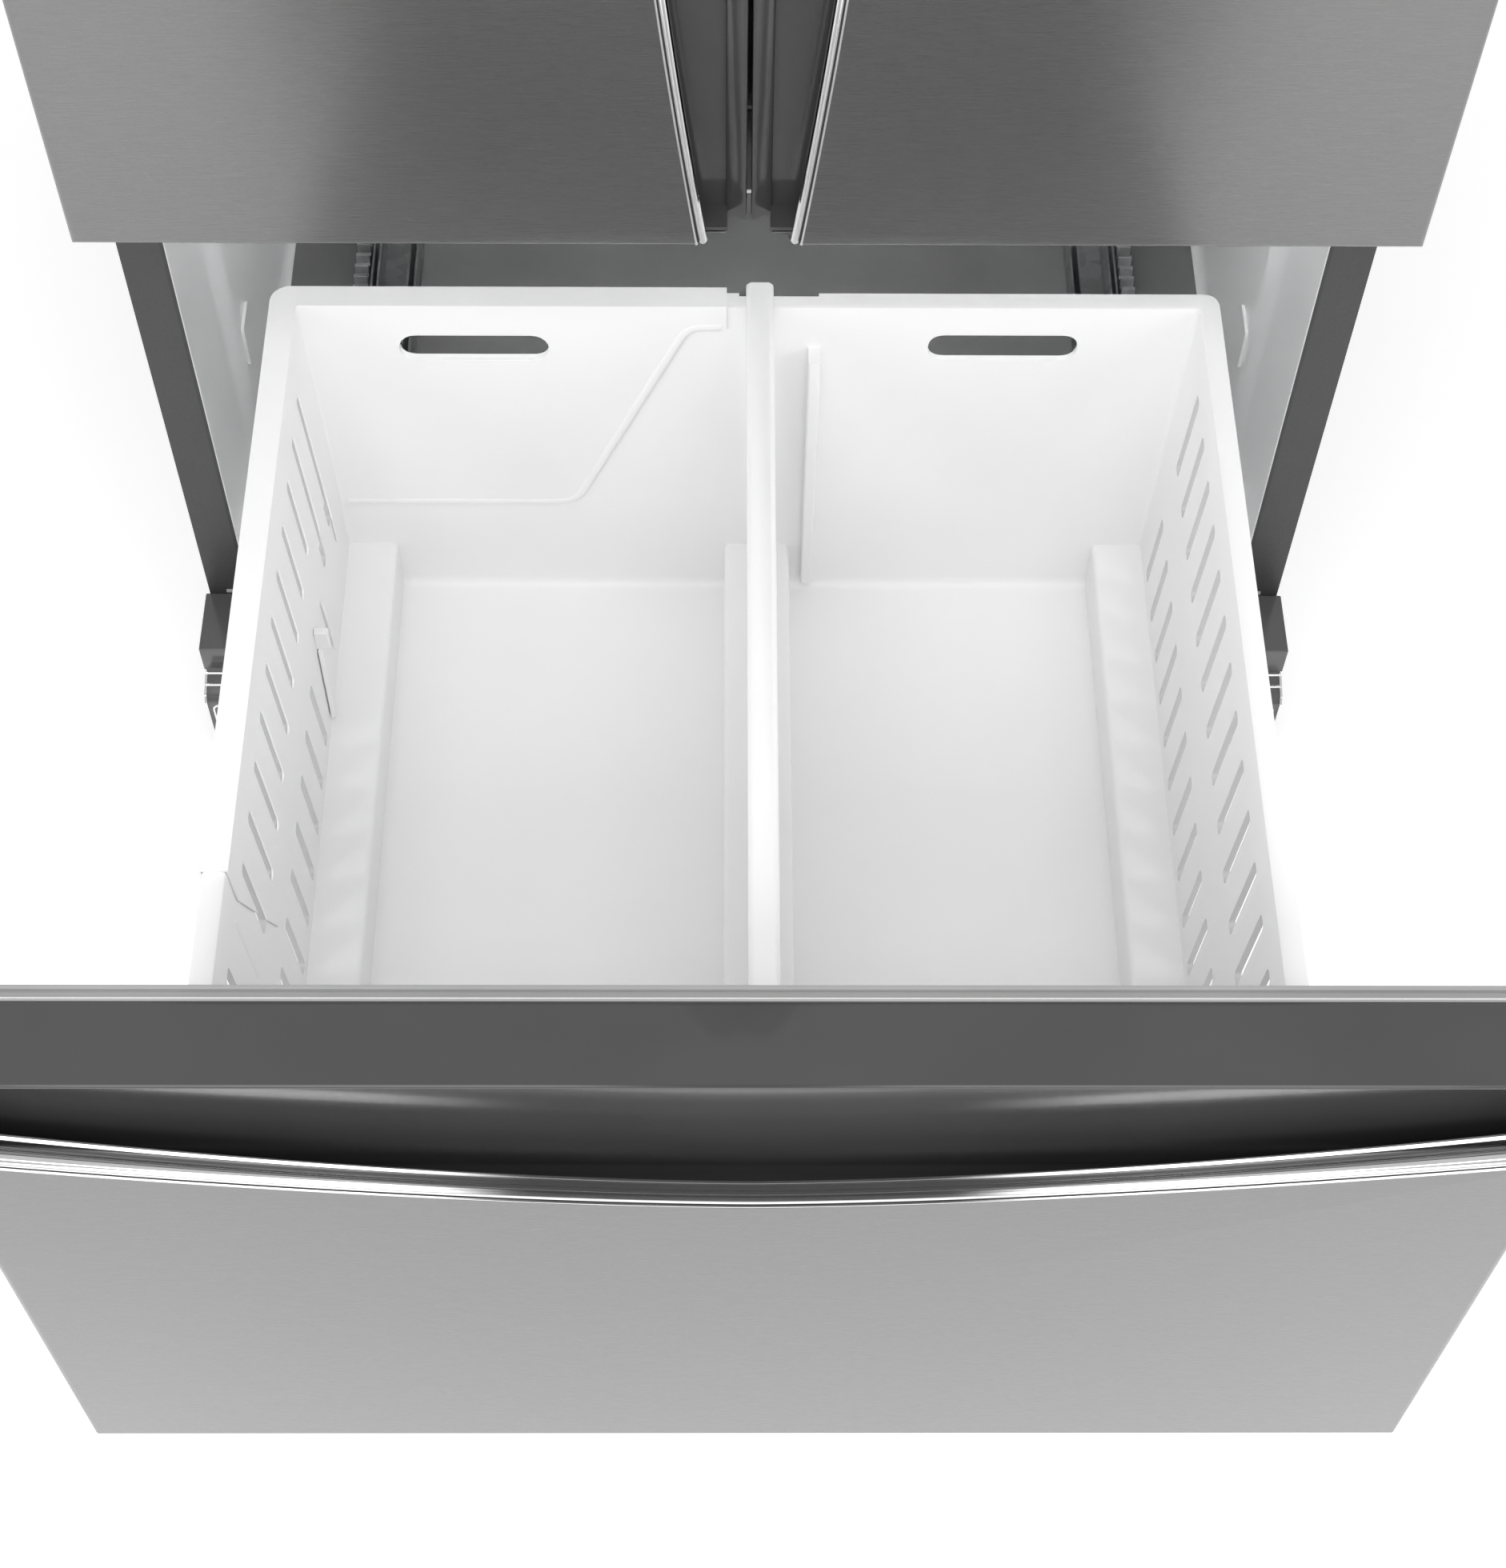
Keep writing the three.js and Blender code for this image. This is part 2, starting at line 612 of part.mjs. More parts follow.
function rackOutline() {
  const root = PINION_Z - PINION_RADIUS - PINION_MODULE - 0.6;
  const tip = PINION_Z - PINION_RADIUS + PINION_MODULE - 0.6;
  const points = [[CHANNEL.y[0], CHANNEL.base], [CHANNEL.y[1], CHANNEL.base], [CHANNEL.y[1], root]];
  const count = Math.floor((CHANNEL.y[1] - PINION_Y) / PITCH);
  for (let i = count; i >= 0; i -= 1) {
    const middle = PINION_Y + (i - 0.5) * PITCH;
    if (middle - PITCH / 4 > CHANNEL.y[0] && middle + PITCH / 4 < CHANNEL.y[1]) {
      points.push([middle + 3.6, root], [middle + 1.4, tip], [middle - 1.4, tip], [middle - 3.6, root]);
    }
  }
  points.push([CHANNEL.y[0], root]);
  return points;
}

// Drawn on the right: a channel screwed to the floor, with a toothed rack along its outer side
function slideChannel() {
  const { base, y, half, wall, height } = CHANNEL;
  const outer = box([RAIL_CENTRE - half, RAIL_CENTRE + half], y, [base, base + height]);
  const inside = box([RAIL_CENTRE - half + wall, RAIL_CENTRE + half - wall], [y[0] - 1, y[1] + 1],
    [base + wall, base + height + 1]);
  const rack = prismX(rackOutline(), [RACK_X - 6, RACK_X + 6]);
  const web = box([RAIL_CENTRE + half - 1, RACK_X - 5], y, [base, base + 8]);
  return join(cut(outer, inside), web, rack);
}

const MID = { y: [4, 660], half: 14, base: 181.5, wall: 2, top: 212 };
const RAIL = { y: [DRAWER_FRONT + 84.5, 20], half: 8, base: 185.5, top: 236.4 };

// The middle member, a channel that runs in the fixed one; it stands half a stroke forward
function midSlide() {
  const y = MID.y.map((end) => end - TRAVEL / 2);
  const outer = box([RAIL_CENTRE - MID.half, RAIL_CENTRE + MID.half], y, [MID.base, MID.top]);
  const inside = box([RAIL_CENTRE - MID.half + MID.wall, RAIL_CENTRE + MID.half - MID.wall],
    [y[0] - 1, y[1] + 1], [MID.base + MID.wall, MID.top + 1]);
  return cut(outer, inside);
}

// The member fixed to the drawer front; its flat top carries the basket
function drawerRail() {
  const { y, half, base, top } = RAIL;
  const web = box([RAIL_CENTRE - half, RAIL_CENTRE + half], y, [base, top - 2]);
  const head = box([RAIL_CENTRE - 16, RAIL_CENTRE + 16], y, [top - 5, top]);
  const foot = box([RAIL_CENTRE - 22, RAIL_CENTRE + 22], [y[0], y[0] + 6], [base + 1, 252]);
  const rail = join(web, head, foot);
  return rail.subtract(cylinder('x', 6.5, [RAIL_CENTRE - 20, RAIL_CENTRE + 20],
    [PINION_Y, PINION_Z], 16));
}

function pinionOutline() {
  const points = [];
  const root = PINION_RADIUS - PINION_MODULE - 0.4;
  const tip = PINION_RADIUS + PINION_MODULE - 1.2;
  const halfTooth = [[0.30, root], [0.11, tip]];
  for (let i = 0; i < PINION_TEETH; i += 1) {
    const middle = -Math.PI / 2 + (i * 2 * Math.PI) / PINION_TEETH;
    const flank = [[-halfTooth[0][0], root], [-halfTooth[1][0], tip], [halfTooth[1][0], tip],
      [halfTooth[0][0], root]];
    flank.forEach(([angle, radius]) => {
      points.push([PINION_Y + radius * Math.cos(middle + angle),
        PINION_Z + radius * Math.sin(middle + angle)]);
    });
  }
  return points;
}

// The shaft that keeps both sides of the drawer level, with a pinion on each end
function pinionShaft() {
  const reach = RACK_X + 8;
  const shaft = cylinder('x', 6, [-reach, reach], [PINION_Y, PINION_Z], 16);
  const pinions = [-1, 1].map((side) => onSide(prismX(pinionOutline(), [RACK_X - 5, RACK_X + 5]), side));
  return join(shaft, ...pinions);
}

forBothSides((word, side) => {
  addPart(`slide_channel_${word}`, onSide(slideChannel(), side), FINISH.zinc);
  addPart(`mid_slide_${word}`, onSide(midSlide(), side), FINISH.zinc);
  addPart(`drawer_rail_${word}`, onSide(drawerRail(), side), FINISH.zinc);
});
addPart('pinion_shaft', pinionShaft(), FINISH.zinc);

// ---------------------------------------------------------------- basket

// Rows of slots through the side walls, counted from the rear; the guarded side has two long
// slots in place of the first ones, and its lower row starts further forward
const SLOT = {
  width: 11,
  pitch: 39.4,
  corner: 4,
  lean: 0.04,
  upper: { first: -89, top: 471.5, drop: 87 },
  lower: { first: -86, top: 324.5, drop: 74 },
  long: { count: 2, drop: 153 },
  guardedStart: -230,
};
const HAND_HOLES = [[-200.5, 464.5], [188, 464.5]];
const HAND_HOLE = { half: 55, height: 25.4 };
const GUARD = { end: -508, rearEnd: -15, sheet: 1.4 };

// A rectangular block whose sides lean inwards towards its foot, like the basket's walls
function taperedBlock(halfWidth, [y0, y1], radius, [z0, z1]) {
  const outline = roundedRectangle([-halfWidth, halfWidth], [y0, y1], radius, 4);
  const geometry = prism(outline, z1 - z0).translate(0, 0, z0);
  const position = geometry.attributes.position;
  const middleY = (y0 + y1) / 2;
  for (let i = 0; i < position.count; i += 1) {
    const lean = BASKET_TAPER * (RIM_TOP - position.getZ(i));
    position.setX(i, position.getX(i) - Math.sign(position.getX(i)) * lean);
    position.setY(i, position.getY(i) - Math.sign(position.getY(i) - middleY) * lean);
  }
  return toSolid(geometry);
}

// wall faces of the basket's inside, pushed out by offset
function basketBlock(offset, z) {
  const inset = RIM_WIDTH - offset;
  const y = [BASKET_Y[0] + inset, BASKET_Y[1] - inset];
  return taperedBlock(RIM_HALF - inset, y, INNER_CORNER + offset, z);
}

function stadiumY([x, z], y) {
  const half = HAND_HOLE.half;
  const radius = HAND_HOLE.height / 2;
  return prismY(roundedRectangle([x - half, x + half], [z - radius, z + radius], radius, 5), y);
}

// One slot through a side wall: a rounded rectangle whose foot leans slightly to the rear
function slotOutline(y, top, drop) {
  const half = SLOT.width / 2;
  return roundedRectangle([y - half, y + half], [top - drop, top], SLOT.corner)
    .map(([a, b]) => [a + SLOT.lean * (top - b), b]);
}

// dropAt gives each slot's height from its place and number, or 0 where the wall stays solid
function slotPrisms(side, row, dropAt = () => row.drop) {
  const prisms = [];
  const count = Math.floor((row.first - SLOT.width - BASKET_Y[0] - RIM_WIDTH) / SLOT.pitch) + 1;
  for (let i = 0; i < count; i += 1) {
    const y = row.first - i * SLOT.pitch;
    const drop = dropAt(y, i);
    if (drop > 0) {
      prisms.push(onSide(prismX(slotOutline(y, row.top, drop), [295, 360]), side));
    }
  }
  return prisms;
}

function guardedUpperDrop(y, i) {
  const underGuardEnd = Math.abs(y - GUARD.end) < SLOT.pitch / 2;
  if (underGuardEnd) return 0;
  return i < SLOT.long.count ? SLOT.long.drop : SLOT.upper.drop;
}

function guardedLowerDrop(y) {
  return y < SLOT.guardedStart ? SLOT.lower.drop : 0;
}

function basket() {
  const foot = BASKET_FLOOR - BASKET_WALL;
  const walls = cut(basketBlock(SIDE_WALL, [foot, RIM_TOP]),
    basketBlock(0, [BASKET_FLOOR, RIM_TOP + 1]));
  const rimOutline = roundedRectangle([-RIM_HALF, RIM_HALF], BASKET_Y, RIM_CORNER, 5);
  const rim = prismZ(rimOutline, [RIM_TOP - 4, RIM_TOP]);
  const skirt = cut(prismZ(rimOutline, [RIM_TOP - 15, RIM_TOP]),
    prismZ(roundedRectangle([-RIM_HALF + 2.5, RIM_HALF - 2.5],
      [BASKET_Y[0] + 2.5, BASKET_Y[1] - 2.5], RIM_CORNER - 2.5, 5), [RIM_TOP - 16, RIM_TOP - 3]));
  const flange = cut(join(rim, skirt), basketBlock(0, [BASKET_FLOOR, RIM_TOP + 1]));
  let solid = join(walls, flange);

  // raised tunnels over the slides and a low middle rib, hollow from below
  const reach = [BASKET_Y[0] - 5, BASKET_Y[1] + 5];
  const hull = basketBlock(BASKET_WALL, [foot, RIM_TOP]);
  const tunnel = (x) => box(x, reach, [foot, LEDGE_TOP]).intersect(hull);
  const hollow = (x) => box(x, reach, [BASKET_FLOOR - 10, LEDGE_TOP - BASKET_WALL]);
  const rib = [DIVIDER_X - RIB_HALF, DIVIDER_X + RIB_HALF];
  solid = join(solid, tunnel([-RIM_HALF, -LEDGE_HALF]), tunnel([LEDGE_HALF, RIM_HALF]), tunnel(rib));
  solid = cut(solid, hollow([-RIM_HALF, -LEDGE_HALF - BASKET_WALL]),
    hollow([LEDGE_HALF + BASKET_WALL, RIM_HALF]),
    hollow([rib[0] + BASKET_WALL, rib[1] - BASKET_WALL]));

  // upright guide for the divider on the rear wall
  const rearWall = BASKET_Y[1] - RIM_WIDTH;
  solid = solid.add(box([45, 54], [rearWall - 20, rearWall + 1], [200, 465]).intersect(hull));

  // rim notch behind the divider, hand holes and the two rows of slots on each side
  const notch = box([-6, 52], [BASKET_Y[1] - 4.5, BASKET_Y[1] + 1], [RIM_TOP - 16, RIM_TOP + 1]);
  solid = cut(solid, notch);
  solid = cut(solid, ...HAND_HOLES.map((hole) => stadiumY(hole, [rearWall - 15, rearWall + 8])));
  return cut(solid, ...slotPrisms(1, SLOT.upper), ...slotPrisms(1, SLOT.lower),
    ...slotPrisms(-1, SLOT.upper, guardedUpperDrop), ...slotPrisms(-1, SLOT.lower, guardedLowerDrop));
}

// A thin cap clipped over the basket's left rear corner, with aprons down both inner walls
function cornerGuard() {
  const outer = basketBlock(-GAP, [BASKET_FLOOR + 40, RIM_TOP + 2 * GAP]);
  const inner = basketBlock(-GAP - GUARD.sheet, [BASKET_FLOOR + 39, RIM_TOP + 10]);
  const lining = cut(outer, inner);
  const rearApron = prismY([[GUARD.rearEnd, RIM_TOP + 2], [GUARD.rearEnd, 484], [-44, 484],
    [-136, 289], [-RIM_HALF, 289], [-RIM_HALF, RIM_TOP + 2]], [BASKET_Y[1] - 62, BASKET_Y[1]]);
  const sideApron = prismX([[GUARD.end, RIM_TOP + 2], [GUARD.end, 470], [GUARD.end + 48, 352],
    [BASKET_Y[1], 352], [BASKET_Y[1], RIM_TOP + 2]], [-RIM_HALF, -280]);
  const capZ = [RIM_TOP + GAP, RIM_TOP + GAP + 2];
  const rimTop = cut(prismZ(roundedRectangle([-RIM_HALF - 2, RIM_HALF + 2],
    [BASKET_Y[0] - 2, BASKET_Y[1] + 2], RIM_CORNER + 2, 5), [capZ[0] - 8, capZ[1]]),
  prismZ(roundedRectangle([-RIM_HALF - GAP, RIM_HALF + GAP],
    [BASKET_Y[0] - GAP, BASKET_Y[1] + GAP], RIM_CORNER, 5), [capZ[0] - 9, capZ[0]]),
  basketBlock(-GAP - GUARD.sheet, [BASKET_FLOOR, RIM_TOP + 10]));
  const corner = join(box([-RIM_HALF - 3, GUARD.rearEnd], [BASKET_Y[1] - 40, BASKET_Y[1] + 3],
    [480, 510]),
    box([-RIM_HALF - 3, -300], [GUARD.end, BASKET_Y[1]], [480, 510]));
  const aprons = lining.intersect(join(rearApron, sideApron));
  const guard = join(aprons, rimTop.intersect(corner));
  return cut(guard, stadiumY(HAND_HOLES[0], [BASKET_Y[1] - 40, BASKET_Y[1] - 10]),
    ...slotPrisms(-1, SLOT.upper, guardedUpperDrop));
}

// The long partition: a thin wall under a rounded top rail that hooks over both rims
function basketDivider() {
  const wallY = [BASKET_Y[0] + RIM_WIDTH + 14, BASKET_Y[1] - RIM_WIDTH - 14];
  const wall = box([DIVIDER_X - 1.5, DIVIDER_X + 1.5], wallY, [LEDGE_TOP + 1, RIM_TOP + 1]);
  const railOutline = [[-10, GAP], [10, GAP], [10, 4], [7, 7], [-7, 7], [-10, 4]]
    .map(([x, z]) => [DIVIDER_X + x, RIM_TOP + z]);
  const rail = prismY(railOutline, [BASKET_Y[0] - 2, BASKET_Y[1] + 3.5]);
  const cheeks = box([DIVIDER_X - 8, DIVIDER_X + 8], wallY, [RIM_TOP - 14, RIM_TOP + 2]);
  return join(wall, rail, cheeks);
}

addPart('basket', basket(), FINISH.basketWhite);
addPart('corner_guard', cornerGuard(), FINISH.basketWhite);
addPart('basket_divider', basketDivider(), FINISH.basketWhite);

// ---------------------------------------------------------------- freezer tray

const TRAY = { half: 390, y: [140, 636], z: [518, 580], wing: 405 };

// A shallow open tray whose side wings run on the liner's ledges
function freezerTray() {
  const wing = box([TRAY.half - 2, TRAY.wing], TRAY.y, [TRAY.z[0], TRAY.z[0] + 4]);
  return join(openBox([-TRAY.half, TRAY.half], TRAY.y, TRAY.z, 3), wing, onSide(wing, -1));
}

addPart('freezer_tray', freezerTray(), FINISH.clear);

// ---------------------------------------------------------------- shelves and crispers

function glassShelf(level) {
  const half = LINER_HALF - 1;
  const plate = box([-half, half], [SHELF_Y[0] - 3, SHELF_Y[1]], [level + GAP, level + 5]);
  const edge = [SHELF_Y[0] - 7, SHELF_Y[0] - GAP];
  return plate.add(box([-half, half], edge, [level - 9, level + 9]));
}

function crisper(side) {
  const x = [5, LINER_HALF - 6];
  const z = [669.5, 915];
  let bin = openBox(x, [160, 620], z, 3);
  bin = bin.add(box(x, [152, 161], z));
  bin = bin.add(box([x[0] + 20, x[1] - 20], [142, 153], [z[1] - 30, z[1] - 12]));
  return onSide(bin, side);
}

Object.entries(SHELF_LEVELS).forEach(([name, level]) => {
  addPart(name, glassShelf(level), FINISH.clear);
});
forBothSides((word, side) => addPart(`crisper_${word}`, crisper(side), FINISH.clear));

// ---------------------------------------------------------------- refrigeration

// A block of thin upright fins joined along one edge
function finBlock([x0, x1], y, z, count) {
  const pitch = (x1 - x0) / count;
  let block = box([x0, x1], y, z);
  for (let i = 0; i < count; i += 1) {
    const middle = x0 + (i + 0.5) * pitch;
    block = block.subtract(box([middle - pitch * 0.3, middle + pitch * 0.3],
      [y[0] - 1, y[1] - 8], [z[0] - 1, z[1] + 1]));
  }
  return block;
}

function compressor() {
  const profile = [[0, 78], [40, 82], [50, 96], [50, 190], [40, 212], [14, 222], [0, 222]]
    .map(([r, z]) => new THREE.Vector2(r, z));
  const shell = new THREE.LatheGeometry(profile, 20).rotateX(Math.PI / 2);
  shell.translate(-150, 752, 0);
  const feet = box([-215, -85], [716, 788], [CASE_BOTTOM + 2 + GAP, 80]);
  return feet.add(toSolid(shell));
}

// A small axial fan; the blades are flat plates set at an angle on the hub
function fan(axis, radius, along, centre) {
  let wheel = cylinder(axis, radius * 0.3, [along - 9, along + 9], centre, 12);
  for (let i = 0; i < 5; i += 1) {
    const blade = new THREE.BoxGeometry(radius * 0.8, 2, radius * 0.42);
    blade.rotateX(0.6);
    blade.translate(radius * 0.58, 0, 0);
    blade.rotateY((i * 2 * Math.PI) / 5);
    if (axis === 'x') blade.rotateZ(Math.PI / 2).translate(along, centre[0], centre[1]);
    if (axis === 'y') blade.translate(centre[0], along, centre[1]);
    wheel = wheel.add(toSolid(blade));
  }
  return wheel;
}

function evaporatorCover() {
  let cover = box([-LINER_HALF + 2, LINER_HALF - 2], [641, 644], [308, 584]);
  for (let row = 0; row < 3; row += 1) {
    for (const x of [-260, 260]) {
      const z = 545 - row * 14;
      cover = cover.subtract(box([x - 80, x + 80], [640, 645], [z - 3, z + 3]));
    }
  }
  return cover;
}

addPart('compressor', compressor(), FINISH.blackSteel);
addPart('condenser', finBlock([90, 330], [702, 798], [CASE_BOTTOM + 3, 236], 14), FINISH.fins);
addPart('condenser_fan', fan('x', 48, 30, [752, 150]), FINISH.darkMatte);
addPart('evaporator', finBlock([-230, 230], [650, 712], [318, 480], 20), FINISH.fins);
addPart('evaporator_fan', fan('y', 44, 680, [0, 532]), FINISH.darkMatte);
addPart('evaporator_cover', evaporatorCover(), FINISH.linerWhite);

// ---------------------------------------------------------------- origin

assembly.position.y = -(CASE_DEPTH + DRAWER_FRONT) / 2;

export default assembly;
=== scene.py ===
"""Looks for the french door refrigerator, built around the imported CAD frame.

Shapes are drawn in millimetres from the cabinet's front plane (y = 0), its middle (x = 0) and the
floor (z = 0), and are turned into the frame's metres when a piece is made.
"""

import json
import math

import bmesh
import bpy
from mathutils import Matrix, Vector

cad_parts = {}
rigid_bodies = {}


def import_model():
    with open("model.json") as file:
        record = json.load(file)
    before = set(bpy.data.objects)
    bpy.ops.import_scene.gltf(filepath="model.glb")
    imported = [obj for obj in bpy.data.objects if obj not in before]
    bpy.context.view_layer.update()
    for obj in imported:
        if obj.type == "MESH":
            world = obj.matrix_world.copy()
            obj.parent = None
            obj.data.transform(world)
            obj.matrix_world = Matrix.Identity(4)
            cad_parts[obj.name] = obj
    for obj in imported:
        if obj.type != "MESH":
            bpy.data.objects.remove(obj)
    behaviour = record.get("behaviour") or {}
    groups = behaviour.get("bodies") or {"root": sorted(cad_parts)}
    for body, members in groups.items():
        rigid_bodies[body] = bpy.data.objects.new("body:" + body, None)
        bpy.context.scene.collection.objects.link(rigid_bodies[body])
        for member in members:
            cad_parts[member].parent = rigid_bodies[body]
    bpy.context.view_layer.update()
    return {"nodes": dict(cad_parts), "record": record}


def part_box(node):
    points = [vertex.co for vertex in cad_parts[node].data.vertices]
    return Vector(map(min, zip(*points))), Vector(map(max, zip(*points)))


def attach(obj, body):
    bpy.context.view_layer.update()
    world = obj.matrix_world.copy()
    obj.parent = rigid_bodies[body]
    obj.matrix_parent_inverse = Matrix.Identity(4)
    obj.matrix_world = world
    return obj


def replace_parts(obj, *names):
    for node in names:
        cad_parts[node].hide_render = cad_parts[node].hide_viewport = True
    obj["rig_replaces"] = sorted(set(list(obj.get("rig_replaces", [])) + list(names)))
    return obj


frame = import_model()

# ---------------------------------------------------------------- driving dimensions, millimetres

MM = 0.001
CASE_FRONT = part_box("case_wrapper")[0].y
TO_FRAME = Matrix.Translation((0, CASE_FRONT, 0)) @ Matrix.Scale(MM, 4)

CASE_HALF = 454
OPENING = {"half": 423, "bottom": 172, "top": 1714}
DOOR_FRONT = -94
DOOR_Z = (630, 1738)
DOOR_SPLIT = 1.5
DRAWER_FRONT = -740
DRAWER_Z = (128, 620)
PANEL_DEPTH = 80

RIM_TOP = 505
RIM_HALF = 343
RIM_WIDTH = 15.5
BASKET_Y = (-634, -16.5)
BASKET_FLOOR = 191
BASKET_TAPER = 0.036
LEDGE_TOP = 240
LEDGE_HALF = 279
DIVIDER_X = 9

GAP = 0.3                             # kept between pieces that touch

BODIES = frame["record"]["behaviour"]["bodies"]
BODY_OF = {node: body for body, nodes in BODIES.items() for node in nodes}
SLOT_OF = {row["node"]: row["material_slot"] for row in frame["record"]["subparts"]}

# ---------------------------------------------------------------- materials


class Nodes:
    """A material's node tree with short calls for the few nodes that the finishes share."""

    def __init__(self, name, **shader):
        self.material = bpy.data.materials.new(name)
        self.material.use_nodes = True
        self.tree = self.material.node_tree
        self.shader = self.tree.nodes["Principled BSDF"]
        for socket, value in shader.items():
            self.shader.inputs[socket.replace("_", " ")].default_value = value

    def node(self, kind, **values):
        made = self.tree.nodes.new(kind)
        for key, value in values.items():
            if key in made.inputs:
                made.inputs[key].default_value = value
            else:
                setattr(made, key, value)
        return made

    def link(self, source, target):
        self.tree.links.new(source, target)

    def place(self, scale):
        """Coordinates in metres, stretched by scale along each axis."""
        coordinates = self.node("ShaderNodeTexCoord")
        mapping = self.node("ShaderNodeMapping")
        mapping.inputs["Scale"].default_value = scale
        self.link(coordinates.outputs["Object"], mapping.inputs["Vector"])
        return mapping.outputs["Vector"]

    def noise(self, scale, stretch=(1, 1, 1), detail=4.0, roughness=0.55):
        made = self.node("ShaderNodeTexNoise", Scale=scale, Detail=detail, Roughness=roughness)
        self.link(self.place(stretch), made.inputs["Vector"])
        return made.outputs["Fac"]

    def ramp(self, factor, low, high, start=0.3, end=0.7):
        made = self.node("ShaderNodeValToRGB")
        first, last = made.color_ramp.elements
        first.position, first.color = start, (*low, 1)
        last.position, last.color = end, (*high, 1)
        self.link(factor, made.inputs["Fac"])
        return made.outputs["Color"]

    def vary_color(self, factor, low, high, start=0.3, end=0.7):
        self.link(self.ramp(factor, low, high, start, end), self.shader.inputs["Base Color"])

    def vary_roughness(self, factor, low, high):
        made = self.node("ShaderNodeMapRange")
        made.inputs["To Min"].default_value = low
        made.inputs["To Max"].default_value = high
        self.link(factor, made.inputs["Value"])
        self.link(made.outputs["Result"], self.shader.inputs["Roughness"])

    def bump(self, height, distance, strength=1.0):
        made = self.node("ShaderNodeBump", Strength=strength, Distance=distance)
        previous = self.shader.inputs["Normal"].links
        if previous:
            self.link(previous[0].from_socket, made.inputs["Normal"])
        self.link(height, made.inputs["Height"])
        self.link(made.outputs["Normal"], self.shader.inputs["Normal"])


def grey(value, tint=0.0):
    return (value * (1 - tint), value, value * (1 + tint))


def moulded(name, color, roughness, grain=2600, depth=0.00003, spread=0.04, **shader):
    """Moulded plastic: a faint cloudy tone, uneven gloss and a very fine spark grain."""
    made = Nodes(name, **shader)
    cloud = made.noise(7)
    made.vary_color(cloud, [c * (1 - spread) for c in color], color)
    made.vary_roughness(made.noise(23), roughness * 0.85, roughness * 1.15)
    made.bump(made.noise(grain, detail=2), depth)
    made.bump(made.noise(9, detail=1), 0.0004)
    return made.material


def brushed(name, low, high, roughness, stretch):
    """Rolled sheet with fine scratches along x, which vary its tone, gloss and surface."""
    made = Nodes(name, Metallic=1.0)
    scratches = made.noise(2600, stretch=stretch, detail=4, roughness=0.6)
    made.vary_color(scratches, low, high, 0.25, 0.75)
    made.vary_roughness(scratches, roughness * 0.85, roughness * 1.15)
    made.bump(scratches, 0.00001, 0.5)
    return made.material


def plated(name, low, high, roughness):
    """Zinc-plated steel with the broad crystals that plating leaves."""
    made = Nodes(name, Metallic=1.0)
    crystals = made.node("ShaderNodeTexVoronoi", Scale=95)
    made.link(made.place((1, 1, 1)), crystals.inputs["Vector"])
    tone = made.node("ShaderNodeSeparateColor")
    made.link(crystals.outputs["Color"], tone.inputs["Color"])
    made.vary_color(tone.outputs["Red"], low, high, 0.0, 1.0)
    made.vary_roughness(made.noise(60), roughness * 0.8, roughness * 1.2)
    made.bump(made.noise(900), 0.00002)
    return made.material


def painted(name, color, roughness, grain, depth, **shader):
    """Baked paint with a fine crinkled relief; the relief's height also tints its colour, lighter on the
    tops and darker in the hollows, as painted highlight and shade.
    """
    made = Nodes(name, **shader)
    relief_and_shade = made.noise(grain, detail=3)
    # painted light: the colour follows the relief's height, darker in the hollows and lighter on the tops
    made.vary_color(relief_and_shade, [c * 0.86 for c in color], [c * 1.12 for c in color])
    made.vary_roughness(made.noise(40), roughness * 0.85, roughness * 1.2)
    made.bump(relief_and_shade, depth)
    return made.material


def polished(name, color, roughness):
    """Chrome with faint polishing haze."""
    made = Nodes(name, Metallic=1.0)
    haze = made.noise(30, stretch=(0.15, 1, 1))
    made.vary_color(haze, [c * 0.95 for c in color], color)
    made.vary_roughness(haze, roughness * 0.6, roughness * 1.5)
    made.bump(made.noise(400, stretch=(0.05, 1, 1), detail=2), 0.000002)
    return made.material


def see_through(name, color, roughness, ior):
    made = Nodes(name, Transmission_Weight=1.0, IOR=ior)
    cloud = made.noise(6)
    made.vary_color(cloud, [c * 0.97 for c in color], color)
    made.vary_roughness(made.noise(35), roughness * 0.6, roughness * 1.6)
    made.bump(made.noise(14, detail=1), 0.0001)
    return made.material


MATERIALS = {
    "case_paint": painted("case_paint", grey(0.037), 0.42, 700, 0.00012),
    "stainless": brushed("stainless", grey(0.19), grey(0.235), 0.27, (0.02, 1, 1)),
    "chrome": polished("chrome", grey(0.86), 0.05),
    "dark_gloss": moulded("dark_gloss", grey(0.064), 0.15, depth=0.000008, spread=0.15,
                          Coat_Weight=0.35, Coat_Roughness=0.06),
    "floor_plate": moulded("floor_plate", grey(0.14), 0.22, depth=0.00001, spread=0.2),
    "grille_gloss": moulded("grille_gloss", grey(0.085), 0.12, depth=0.000008, spread=0.15,
                            Coat_Weight=0.35, Coat_Roughness=0.06),
    "dark_matte": moulded("dark_matte", grey(0.03), 0.5, grain=1500, depth=0.00006, spread=0.2),
    "liner_white": moulded("liner_white", grey(0.93), 0.3, spread=0.03),
    "basket_white": moulded("basket_white", grey(0.95), 0.4, spread=0.02),
    # painted shade: a mid grey for the cut faces of the basket's slots, standing in for the dim light
    # inside them
    "slot_painted_shade": moulded("slot_painted_shade", grey(0.58), 0.5, spread=0.06),
    "gasket_grey": moulded("gasket_grey", grey(0.38), 0.55, grain=900, depth=0.00005, spread=0.12),
    "clear_plastic": see_through("clear_plastic", grey(0.93, 0.008), 0.05, 1.49),
    "shelf_glass": see_through("shelf_glass", (0.88, 0.95, 0.92), 0.02, 1.5),
    "zinc": plated("zinc", grey(0.46, 0.01), grey(0.62, 0.01), 0.32),
    "black_steel": painted("black_steel", grey(0.014), 0.35, 350, 0.00008),
    "fins": brushed("fins", grey(0.5), grey(0.66), 0.35, (1, 1, 0.02)),
    "rubber": moulded("rubber", grey(0.016), 0.75, grain=1200, depth=0.00008, spread=0.3),
}

